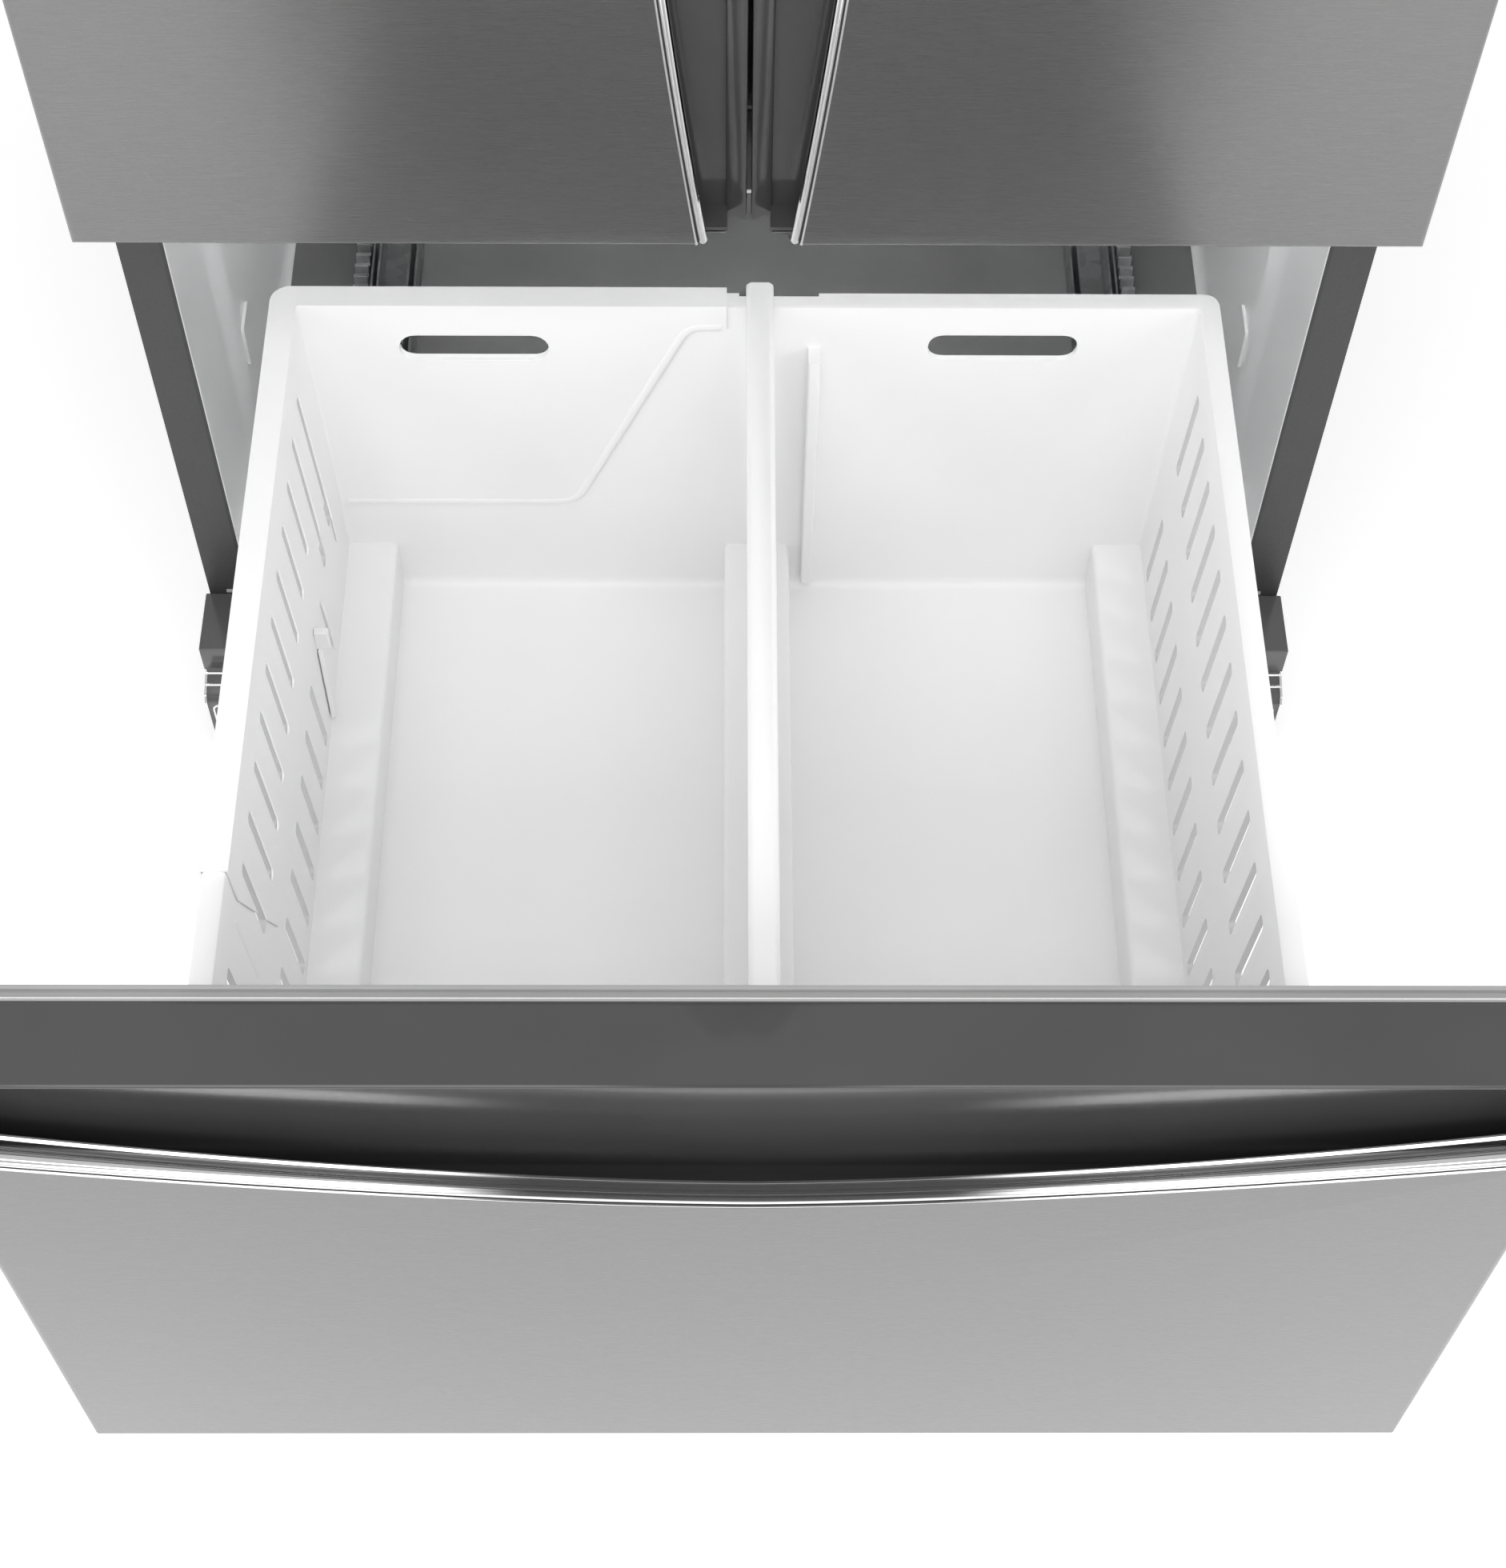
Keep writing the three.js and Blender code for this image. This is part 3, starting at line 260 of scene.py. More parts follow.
UNDISSOLVED = {"case_wrapper", "basket_divider"}      # their flat faces ring round other faces
OWN_FINISH = {"freezer_floor_plate": "floor_plate", "base_grille": "grille_gloss"}

# ---------------------------------------------------------------- making pieces

CREASE = 35                           # degrees: an edge bent further than this is shaded sharp
ROUND_FROM = 32                       # degrees: an edge bent further than this can be rounded
ONE_PLANE = 0.6                       # degrees: faces closer than this are joined
SAME_POINT = 0.01                     # millimetres: corners closer than this are joined


def keep(name, bm, body, slot, replaces=(), smooth=CREASE, bevel=None, in_frame=False, finish=None):
    """A shown piece from a bmesh in millimetres: shaded, finished, riding on its body."""
    if not in_frame:
        bm.transform(TO_FRAME)
    bmesh.ops.recalc_face_normals(bm, faces=bm.faces)
    mesh = bpy.data.meshes.new(name)
    bm.to_mesh(mesh)
    bm.free()
    mesh.shade_smooth()
    mesh.set_sharp_from_angle(angle=math.radians(smooth))
    mesh.materials.append(MATERIALS[finish or slot])
    piece = bpy.data.objects.new(name, mesh)
    bpy.context.scene.collection.objects.link(piece)
    if bevel:
        modifier = piece.modifiers.new("soft_edges", "BEVEL")
        modifier.width = bevel * MM
        modifier.segments = 2
        modifier.limit_method = "ANGLE"
        modifier.angle_limit = math.radians(ROUND_FROM)
        modifier.use_clamp_overlap = True
        modifier.harden_normals = True
    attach(piece, body)
    if replaces:
        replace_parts(piece, *replaces)
    return piece


def soften(node, width):
    """Stands for a CAD node whose shape is right, with its edges rounded."""
    bm = bmesh.new()
    bm.from_mesh(frame["nodes"][node].data)
    bmesh.ops.remove_doubles(bm, verts=bm.verts, dist=SAME_POINT * MM)
    if node not in UNDISSOLVED:
        flat = math.radians(ONE_PLANE)
        bmesh.ops.dissolve_limit(bm, angle_limit=flat, verts=bm.verts, edges=bm.edges)
    return keep(f"{node}.soft", bm, BODY_OF[node], SLOT_OF[node], [node], bevel=width, in_frame=True,
                finish=OWN_FINISH.get(node))


def rounded(points, radii, steps=5):
    """A closed outline with its corners rounded; radii is one number or one for each corner."""
    count = len(points)
    if not hasattr(radii, "__len__"):
        radii = [radii] * count
    outline = []
    for i, (corner, radius) in enumerate(zip(points, radii)):
        here = Vector(corner)
        back = Vector(points[i - 1]) - here
        ahead = Vector(points[(i + 1) % count]) - here
        if not radius:
            outline.append(here)
            continue
        reach = radius / math.tan(back.angle(ahead) / 2)
        reach = min(reach, back.length * 0.499, ahead.length * 0.499)
        start = here + back.normalized() * reach
        end = here + ahead.normalized() * reach
        for k in range(steps + 1):
            t = k / steps
            outline.append(start * (1 - t) ** 2 + here * 2 * t * (1 - t) + end * t * t)
    return outline


def rectangle(x, y):
    return [(x[0], y[0]), (x[1], y[0]), (x[1], y[1]), (x[0], y[1])]


def loft(rings, bm=None, cap=True):
    """A closed skin through rings of points, with both ends closed by a face."""
    bm = bm or bmesh.new()
    rows = [[bm.verts.new(p) for p in ring] for ring in rings]
    for low, high in zip(rows, rows[1:]):
        for i in range(len(low)):
            j = (i + 1) % len(low)
            bm.faces.new((low[i], low[j], high[j], high[i]))
    if cap:
        bm.faces.new(rows[0])
        bm.faces.new(rows[-1])
    return bm


def prism(axis, outline, span, bm=None):
    """The outline (the other two coordinates in x, y, z order) carried along an axis."""
    place = {
        "x": lambda p, s: (s, p[0], p[1]),
        "y": lambda p, s: (p[0], s, p[1]),
        "z": lambda p, s: (p[0], p[1], s),
    }[axis]
    return loft([[place(p, s) for p in outline] for s in span], bm)


def box(x, y, z, bm=None):
    return prism("z", rectangle(x, y), z, bm)


def boolean(base, tool, operation="DIFFERENCE"):
    """Exact boolean of two bmeshes, which are used up."""
    made = []
    for bm in (base, tool):
        bmesh.ops.recalc_face_normals(bm, faces=bm.faces)
        mesh = bpy.data.meshes.new("work")
        bm.to_mesh(mesh)
        bm.free()
        made.append(bpy.data.objects.new("work", mesh))
        bpy.context.scene.collection.objects.link(made[-1])
    modifier = made[0].modifiers.new("work", "BOOLEAN")
    modifier.solver = "EXACT"
    modifier.operation = operation
    modifier.object = made[1]
    result = bmesh.new()
    result.from_object(made[0], bpy.context.evaluated_depsgraph_get())
    for work in made:
        mesh = work.data
        bpy.data.objects.remove(work)
        bpy.data.meshes.remove(mesh)
    return result


def turned(bm, matrix):
    bm.transform(matrix)
    if matrix.determinant() < 0:
        bmesh.ops.reverse_faces(bm, faces=bm.faces)
    return bm


MIRROR = Matrix.Scale(-1, 4, (1, 0, 0))
SIDES = {"left": -1, "right": 1}


def on_side(bm, side):
    return turned(bm, MIRROR) if side < 0 else bm


# ---------------------------------------------------------------- steel fronts with an arched grip
# Drawn lying like the drawer's: x along the grip, z = 0 at the grip edge, y = 0 on the steel face.

ARCH_POWER = 1.6
ARCH_STEPS = 72
STEEL = {"thick": 1.6, "fold": 5}
CAP_THICK = 14
CAP_RECESS = 25
POCKET_REAR = 36
ARCH_CUT = 13.3                       # how deep the steel is cut away above the arch
SCOOP_CUT = 8.2                       # how deep the scoop is cut away above the arch
END_PLATE = 3
LIP_BROADER = 0.42                    # how much broader the lip's section is at its ends
DRAWER_PANEL = {"length": 2 * CASE_HALF, "height": DRAWER_Z[1] - DRAWER_Z[0], "depth": 103, "rise": 58}
DOOR_PANEL = {"length": DOOR_Z[1] - DOOR_Z[0], "height": CASE_HALF - DOOR_SPLIT, "depth": 78, "rise": 44}


def arch(spec, steps=ARCH_STEPS):
    """Points along the grip's lower edge, from left to right."""
    half = spec["length"] / 2
    share = [2 * i / steps - 1 for i in range(steps + 1)]
    return [(half * t, -spec["depth"] + spec["rise"] * abs(t) ** ARCH_POWER) for t in share]


def above_arch(spec, y):
    """The block over the arch, up past the grip's upper edge."""
    low = arch(spec)
    over = spec["length"] / 2 + 1
    return prism("y", [*low, (over, low[0][1]), (over, 1), (-over, 1), (-over, low[0][1])], y)


def panel_skin(spec):
    """The folded steel sheet, open at the rear and at the grip edge."""
    half, height = spec["length"] / 2, spec["height"]

    def hull(inset, rear, top):
        block = box((-half + inset, half - inset), (inset, rear), (-height + inset, top))
        front = [e for e in block.edges if all(abs(v.co.y - inset) < 0.01 for v in e.verts)]
        folded = [e for e in front if min(v.co.z for v in e.verts) < top - 1]
        bmesh.ops.bevel(block, geom=folded, offset=STEEL["fold"] - inset, segments=5, profile=0.5,
                        affect="EDGES")
        return block

    skin = boolean(hull(0, PANEL_DEPTH, -CAP_THICK - GAP), hull(STEEL["thick"], PANEL_DEPTH + 1, 1))
    return boolean(skin, above_arch(spec, (-1, ARCH_CUT)))


def panel_cap(spec):
    """The glossy top rail with its soft nose, and the scoop behind the lip."""
    half = spec["length"] / 2
    inner = half - 2.3
    floor = -spec["depth"] - 19
    nose = [(CAP_RECESS + 8, -CAP_THICK), (PANEL_DEPTH, -CAP_THICK), (PANEL_DEPTH, 0), (CAP_RECESS, 0)]
    outline = [(p.x, p.y) for p in rounded(nose, [2, 1, 3, 2.2], 6)]
    cap = prism("x", outline, (-half, half))
    scoop_in = [(5.3, -1), (5.3, floor), (9, floor - 12), (20.6, floor - 18), (32, floor - 12),
                (POCKET_REAR, floor), (POCKET_REAR, -CAP_THICK + 1)]
    scoop_out = [(POCKET_REAR + 3, -CAP_THICK + 1), (POCKET_REAR + 3, floor - 2), (34, floor - 15),
                 (20.6, floor - 21), (7, floor - 15), (2.3, floor - 2), (2.3, -1)]
    radii = [0, 6, 12, 14, 12, 12, 0] + [0, 12, 14, 16, 14, 8, 0]
    wall = [(p.x, p.y) for p in rounded([*scoop_in, *scoop_out], radii, 4)]
    scoop = boolean(prism("x", wall, (-inner, inner)), above_arch(spec, (-1, SCOOP_CUT)))
    cap = boolean(cap, scoop, "UNION")
    end = [(13.6, -CAP_THICK + 1), (13.6, floor), (20, floor - 17), (POCKET_REAR + 1, floor - 5),
           (POCKET_REAR + 1, -CAP_THICK + 1)]
    for side in SIDES.values():
        plate = prism("x", end, (inner - END_PLATE, inner))
        cap = boolean(cap, on_side(plate, side), "UNION")
    return cap


# Sections across the lip: (depth behind the steel face, height above the arch)
LIP_SECTIONS = {
    "chrome": [(0.9, 3.7), (0.35, 4.8), (1.0, 6.4), (2.6, 7.7), (4.8, 8.2), (6.6, 7.5), (7.8, 5.9),
               (8.8, 4.8), (12.6, 4.4), (13.4, 5.4), (14.6, 5.4), (15.2, 4.2), (15.2, -2.0), (9.0, -3.0),
               (4.0, -2.0), (2.0, 1.6)],
    "bead": [(0.1, -0.5), (0.1, 0.8), (0.8, 1.4), (1.6, 1.1), (1.6, -0.7)],
    # the dark strip in the groove under the chrome is painted shade for the lip's shadow
    "joint": [(1.5, 0.8), (1.5, 3.9), (2.4, 3.9), (2.4, 0.8)],
}


def along_arch(spec, section, soft):
    """A section carried along the arch: narrow at its middle and broader towards both ends."""
    rings = []
    points = arch(spec, ARCH_STEPS * 2)
    section = rounded(section, soft, 3)
    half = spec["length"] / 2
    for i, (x, z) in enumerate(points):
        before = Vector(points[max(i - 1, 0)])
        after = Vector(points[min(i + 1, len(points) - 1)])
        along = (after - before).normalized()
        up = Vector((-along.y, along.x))
        broad = 1 + LIP_BROADER * (abs(x) / half) ** 2
        x = max(-half + 2.0, min(half - 2.0, x))
        rings.append([(x + up.x * n, depth * broad, z + up.y * n) for depth, n in section])
    return loft(rings)


# ---------------------------------------------------------------- drawer and door fronts

LAY_DRAWER = Matrix.Translation((0, DRAWER_FRONT, DRAWER_Z[1]))


def stand_door(side):
    """Turns a lying panel upright with its grip edge at the cabinet's middle."""
    place = Matrix.Translation((DOOR_SPLIT, DOOR_FRONT, sum(DOOR_Z) / 2))
    turn = place @ Matrix.Rotation(-math.pi / 2, 4, "Y")
    return MIRROR @ turn if side < 0 else turn


NODES_OF = {
    "drawer": ("drawer_skin", "drawer_cap", "drawer_lip"),
    "door_left": ("door_skin_left", "door_cap_left", "door_lip_left"),
    "door_right": ("door_skin_right", "door_cap_right", "door_lip_right"),
}


def front_panel(word, spec, place, body):
    """The steel sheet, the dark rail, and the lip as its chrome, its bead and a dark matte strip in the
    groove under it, which stands in for the lip's shadow there as painted shade and is drawn as a dark
    seal.
    """
    skin_node, cap_node, lip_node = NODES_OF[word]
    keep(f"{word}_steel", turned(panel_skin(spec), place), body, "stainless", [skin_node])
    keep(f"{word}_grip", turned(panel_cap(spec), place), body, "dark_gloss", [cap_node], smooth=50)
    lip = along_arch(spec, LIP_SECTIONS["chrome"], 1.2)
    keep(f"{word}_chrome", turned(lip, place), body, "chrome", [lip_node], smooth=70)
    bead = along_arch(spec, LIP_SECTIONS["bead"], 0.35)
    keep(f"{word}_bead", turned(bead, place), body, "chrome")
    # a dark matte strip under the chrome: painted shade for the shadow that the lip casts
    joint = along_arch(spec, LIP_SECTIONS["joint"], 0.2)
    keep(f"{word}_joint", turned(joint, place), body, "dark_matte")


front_panel("drawer", DRAWER_PANEL, LAY_DRAWER, "freezer_drawer")
front_panel("door_left", DOOR_PANEL, stand_door(-1), "left_door")
front_panel("door_right", DOOR_PANEL, stand_door(1), "right_door")

# ---------------------------------------------------------------- gaskets

# Section of a magnetic bellows seal: (inwards across its width, forwards from its rear face)
SEAL_SECTION = [(0, 0.4), (1.2, 0), (4.5, 0), (5.2, 1.6), (5.9, 0), (13, 0), (14, 0.8), (14, 3.2),
                (11.5, 4.0), (11.5, 5.2), (14, 6.0), (14, 9.2), (1, 9.2), (0, 8.4), (0, 5.6), (2, 4.8),
                (2, 3.8), (0, 3.0)]


SEAL_HALF = 440
STRIP = {"y": (0.3, 1.6), "below_top": (6, 0.6), "soft": 0.5}


def seal(x, z, rear):
    """A bellows seal round a rectangle; rear is the y of the face that meets the cabinet."""
    section = rounded(SEAL_SECTION, 0.5, 2)
    corners = [(x[0], z[0], 1, 1), (x[1], z[0], -1, 1), (x[1], z[1], -1, -1), (x[0], z[1], 1, -1)]
    rings = [[(cx + sx * w, rear - d, cz + sz * w) for w, d in section] for cx, cz, sx, sz in corners]
    return loft([*rings, rings[0]], cap=False)


def closed_seal(*args):
    bm = seal(*args)
    bmesh.ops.remove_doubles(bm, verts=bm.verts, dist=1e-4)
    return bm


strip_y = [DRAWER_FRONT + PANEL_DEPTH + y for y in STRIP["y"]]
strip_z = [DRAWER_Z[1] - drop for drop in STRIP["below_top"]]
strip_outline = rounded(rectangle(strip_y, strip_z), [0, 0, STRIP["soft"], STRIP["soft"]])
strip = prism("x", strip_outline, (-CASE_HALF + 1, CASE_HALF - 1))
keep("drawer_edge_strip", strip, "freezer_drawer", "gasket_grey")
ring = closed_seal((-SEAL_HALF, SEAL_HALF), (DRAWER_Z[0] + 14, DRAWER_Z[1] - 6),
                   DRAWER_FRONT - DOOR_FRONT - GAP)
keep("drawer_seal", ring, "freezer_drawer", "gasket_grey", ["drawer_gasket"])
for word, side in SIDES.items():
    ring = closed_seal((8, SEAL_HALF), (DOOR_Z[0] + 12, DOOR_Z[1] - 8), -GAP)
    keep(f"door_{word}_seal", on_side(ring, side), f"{word}_door", "gasket_grey", [f"door_gasket_{word}"])

# ---------------------------------------------------------------- basket

SIDE_WALL = 4.4
RIM_CORNER = 12
INNER_CORNER = 4
SLOT = {"width": 11, "pitch": 39.4, "lean": 0.04, "soft": 4.5}
UPPER_ROW = {"first": -89, "top": 471.5, "drop": 87, "long": 153}
LOWER_ROW = {"first": -86, "top": 324.5, "drop": 74}
GUARDED_START = -230                  # the guarded side's lower row starts further forward
HAND_HOLES = [(-200.5, 464.5), (188, 464.5)]
HAND_HOLE = {"half_long": 55, "half_high": 12.7, "soft": 12.6}
LEDGE = {"soft": 5, "wall": 3, "middle_half": 26}
FOOT_FILLET = 9
SIDE_ZONE = (295, 360)                # from inside the side walls to outside them
PAST_END = 5                          # how far a block or a cutter runs past the basket
INTO_WALL = 1.5                       # how far a block inside runs into the wall it joins
BLOCK_TOP = RIM_TOP - 20
GUIDE = {"x": (45, 54), "depth": 19, "z": (200, 465), "soft": 2}
RIM_NOTCH = {"x": (-6, 52), "depth": 4.5, "drop": 16}
# where the painted shade on the slots' cut faces goes: wall insets and largest face area in millimetres,
# and its rear limit behind the first slot
PAINTED_SHADE_SLOT_FACES = {"wall": (32, 2), "largest": 900, "rear": 20}
GUARD = {"end": -508, "rear_end": -15, "apron": 289}


def plan_ring(offset, z, radius, steps=8):
    """A ring round the basket, offset inwards from its rim's outer edge."""
    x = (-RIM_HALF + offset, RIM_HALF - offset)
    y = (BASKET_Y[0] + offset, BASKET_Y[1] - offset)
    return [(p.x, p.y, z) for p in rounded(rectangle(x, y), radius, steps)]


def wall_at(z):
    """How far the inner wall stands in from the rim's outer edge at a height."""
    return RIM_WIDTH + BASKET_TAPER * (RIM_TOP - z)


def tub():
    """The basket's shell: floor, leaning walls and a rolled rim with a skirt, as one closed skin."""
    foot = BASKET_FLOOR + FOOT_FILLET
    turn = [math.radians(90 * i / 5) for i in range(5, -1, -1)]
    inner = [(wall_at(foot) + FOOT_FILLET * (1 - math.cos(a)), foot - FOOT_FILLET * math.sin(a))
             for a in turn]
    rim_in = [(RIM_WIDTH + 0.1, RIM_TOP - 3), (RIM_WIDTH - 0.6, RIM_TOP - 1), (RIM_WIDTH - 2.4, RIM_TOP)]
    rim_out = [(2.4, RIM_TOP), (0.8, RIM_TOP - 0.7), (0, RIM_TOP - 2.4), (0, RIM_TOP - 14.4),
               (0.5, RIM_TOP - 15), (2.0, RIM_TOP - 15), (2.5, RIM_TOP - 14.4), (2.5, RIM_TOP - 3)]
    outer = [(RIM_WIDTH - SIDE_WALL, RIM_TOP - 3.2), (wall_at(foot) - SIDE_WALL, foot),
             (wall_at(foot) - 1, BASKET_FLOOR), (wall_at(foot) + 8, BASKET_FLOOR - 3)]
    rings = []
    for offset, z in [*inner, *rim_in, *rim_out, *outer]:
        radius = RIM_CORNER - (RIM_CORNER - INNER_CORNER) * min(1, offset / RIM_WIDTH)
        rings.append(plan_ring(offset, z, radius))
    return loft(rings)


def inside_block(offset, z):
    """The solid block that fills the basket between two heights, its faces pushed out by offset."""
    return loft([plan_ring(wall_at(level) - offset, level, INNER_CORNER) for level in z])


def slot_outline(y, top, drop):
    """A rounded slot whose foot leans slightly to the rear."""
    half = SLOT["width"] / 2
    corners = rectangle((y - half, y + half), (top - drop, top))
    lean = SLOT["lean"]
    return [(p.x + lean * (top - p.y), p.y) for p in rounded(corners, SLOT["soft"], 5)]


def slot_cutters(bm, side, row):
    """Adds the cutters of one row of slots; the guarded left side has its own exceptions."""
    y = row["first"]
    number = 0
    while y - SLOT["width"] > BASKET_Y[0] + RIM_WIDTH:
        drop = row["drop"]
        if side < 0 and "long" in row and number < 2:
            drop = row["long"]
        under_end = side < 0 and "long" in row and abs(y - GUARD["end"]) < SLOT["pitch"] / 2
        before_start = side < 0 and "long" not in row and y > GUARDED_START
        if not under_end and not before_start:
            zone = sorted(x * side for x in SIDE_ZONE)
            prism("x", slot_outline(y, row["top"], drop), zone, bm)
        y -= SLOT["pitch"]
        number += 1
    return bm


def stadium(centre, y, bm=None):
    """A cutter with round ends, carried along y."""
    x, z = centre
    long, high = HAND_HOLE["half_long"], HAND_HOLE["half_high"]
    outline = rounded(rectangle((x - long, x + long), (z - high, z + high)), HAND_HOLE["soft"], 8)
    return prism("y", outline, y, bm)


def ledge_block(x, z, reach):
    """A raised step along the floor, with its upper edges rounded."""
    return prism("y", rounded(rectangle(x, z), [0, 0, LEDGE["soft"], LEDGE["soft"]], 5), reach)


def basket_shell():
    """The tub with its two side ledges, its middle ledge, the divider's guide and every hole."""
    shell = tub()
    wide = RIM_HALF + PAST_END
    reach = (BASKET_Y[0] - PAST_END, BASKET_Y[1] + PAST_END)
    middle = (DIVIDER_X - LEDGE["middle_half"], DIVIDER_X + LEDGE["middle_half"])
    thick = LEDGE["wall"]
    for x in ((-wide, -LEDGE_HALF), (LEDGE_HALF, wide), middle):
        ledge = ledge_block(x, (BASKET_FLOOR - 3, LEDGE_TOP), reach)
        inside = inside_block(INTO_WALL, (BASKET_FLOOR - 1.6, BLOCK_TOP))
        shell = boolean(shell, boolean(ledge, inside, "INTERSECT"), "UNION")
    hollows = bmesh.new()
    under_middle = (middle[0] + thick, middle[1] - thick)
    for x in ((-wide, -LEDGE_HALF - thick), (LEDGE_HALF + thick, wide), under_middle):
        box(x, reach, (BASKET_FLOOR - 12, LEDGE_TOP - thick), hollows)
    shell = boolean(shell, hollows)
    rear = BASKET_Y[1] - RIM_WIDTH
    outline = rectangle(GUIDE["x"], (rear - GUIDE["depth"], rear + 1))
    guide = prism("z", rounded(outline, [GUIDE["soft"], GUIDE["soft"], 0, 0]), GUIDE["z"])
    guide = boolean(guide, inside_block(INTO_WALL, (BASKET_FLOOR - 1.1, BLOCK_TOP)), "INTERSECT")
    shell = boolean(shell, guide, "UNION")
    notch = box(RIM_NOTCH["x"], (BASKET_Y[1] - RIM_NOTCH["depth"], BASKET_Y[1] + 1),
                (RIM_TOP - RIM_NOTCH["drop"], RIM_TOP + 1))
    shell = boolean(shell, notch)
    holes = bmesh.new()
    for centre in HAND_HOLES:
        stadium(centre, (rear - 15, rear + 8), holes)
    for side in SIDES.values():
        slot_cutters(holes, side, UPPER_ROW)
        slot_cutters(holes, side, LOWER_ROW)
    return boolean(shell, holes)


def paint_shade_on_slot_faces(piece):
    """Paints shade on the cut faces of the side slots: they get a darker grey that stands in for the
    dimmer light inside the slots; the mesh is in metres here.
    """
    piece.data.materials.append(MATERIALS["slot_painted_shade"])
    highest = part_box("basket")[1].z - (RIM_TOP - UPPER_ROW["top"] - 1) * MM
    lowest = highest - (UPPER_ROW["top"] - LOWER_ROW["top"] + LOWER_ROW["drop"] + 2) * MM
    inner, outer = [(RIM_HALF - inset) * MM for inset in PAINTED_SHADE_SLOT_FACES["wall"]]
    rear = CASE_FRONT + (UPPER_ROW["first"] + PAINTED_SHADE_SLOT_FACES["rear"]) * MM
    for face in piece.data.polygons:
        middle = face.center
        crosses_wall = abs(face.normal.x) < 0.5 and face.area < PAINTED_SHADE_SLOT_FACES["largest"] * MM * MM
        in_wall = inner < abs(middle.x) < outer and middle.y < rear
        if in_wall and crosses_wall and lowest < middle.z < highest:
            face.material_index = 1


basket_tub = keep("basket_tub", basket_shell(), "basket", "basket_white", ["basket"], smooth=40)
# the slots' cut faces get painted shade
paint_shade_on_slot_faces(basket_tub)

# ---------------------------------------------------------------- corner guard of the basket


def ridge(points, width, height, normal):
    """A low rounded ridge along a line of points on a wall; normal points off the wall."""
    rings = []
    lift = Vector(normal)
    arc = [(math.cos(a), math.sin(a)) for a in (math.pi * k / 6 for k in range(7))]
    for i, point in enumerate(points):
        here = Vector(point)
        along = (Vector(points[min(i + 1, len(points) - 1)]) - Vector(points[max(i - 1, 0)])).normalized()
        across = along.cross(lift).normalized()
        rings.append([here + across * (c * width / 2) + lift * (h * height - 0.6) for c, h in arc])
    return loft(rings)


def bent(points, radius):
    """An open line of 3D points with its corners rounded."""
    line = [Vector(points[0])]
    for before, corner, after in zip(points, points[1:], points[2:]):
        here = Vector(corner)
        back, ahead = Vector(before) - here, Vector(after) - here
        reach = min(radius, back.length * 0.49, ahead.length * 0.49)
        start, end = here + back.normalized() * reach, here + ahead.normalized() * reach
        for k in range(7):
            t = k / 6
            line.append(start * (1 - t) ** 2 + here * 2 * t * (1 - t) + end * t * t)
    return [*line, Vector(points[-1])]


GUARD_PROUD = 1.8
HEM = {"z": (GUARD["apron"] + 4, 486), "slope_x": (-134, -44), "width": 7, "height": 1.1, "bend": 14}
RIB = {"y": (4, -8), "z": (316, 246), "width": 8, "height": 3}
HOOK = {"y": (3, 9), "z": (316, 336), "wall_z": 330, "reach": 11, "soft": 2}


def guard_face(z):
    """How far the guard's inner face stands in from the rim's outer edge."""
    return wall_at(z) + GUARD_PROUD


def rear_face(x, z):
    return (x, BASKET_Y[1] - guard_face(z), z)


def side_face(y, z):
    return (-RIM_HALF + guard_face(z), y, z)


corner_x = -RIM_HALF + guard_face(GUARD["apron"]) + 6
hem_low, hem_high = HEM["z"]
hem = [rear_face(GUARD["rear_end"] - 4, hem_high), rear_face(HEM["slope_x"][1], hem_high),
       rear_face(HEM["slope_x"][0], hem_low), rear_face(corner_x, hem_low)]
hem_ridge = ridge(bent(hem, HEM["bend"]), HEM["width"], HEM["height"], (0, -1, 0))
keep("guard_rear_hem", hem_ridge, "basket", "basket_white", smooth=60)
end_y = UPPER_ROW["first"] - 11 * SLOT["pitch"]
slot_line = [(-RIM_HALF + wall_at(z), end_y + SLOT["lean"] * (UPPER_ROW["top"] - z), z)
             for z in (468, 388)]
keep("guard_closed_slot", ridge(slot_line, 2.6, 1.2, (1, 0, 0)), "basket", "basket_white", smooth=60)

# a divider hook and its rib on the left wall, in the place of one slot
hook_y = LOWER_ROW["first"] - 3 * SLOT["pitch"]
rib_line = [side_face(hook_y + y, z) for y, z in zip(RIB["y"], RIB["z"])]
keep("wall_rib", ridge(rib_line, RIB["width"], RIB["height"], (1, 0, 0)),
     "basket", "basket_white", smooth=60)
hook_x = -RIM_HALF + wall_at(HOOK["wall_z"])
hook_outline = rectangle((hook_x, hook_x + HOOK["reach"]), [hook_y + y for y in HOOK["y"]])
hook = prism("z", rounded(hook_outline, [0, HOOK["soft"], HOOK["soft"], 0]), HOOK["z"])
keep("wall_hook", hook, "basket", "basket_white", bevel=0.8)
closed_y = LOWER_ROW["first"] - 2 * SLOT["pitch"]
slot_line = [side_face(closed_y + y, z) for y, z in ((2, 322), (5, 262))]
keep("wall_closed_slot", ridge(slot_line, 3, 1.6, (1, 0, 0)), "basket", "basket_white", smooth=60)

# ---------------------------------------------------------------- liners

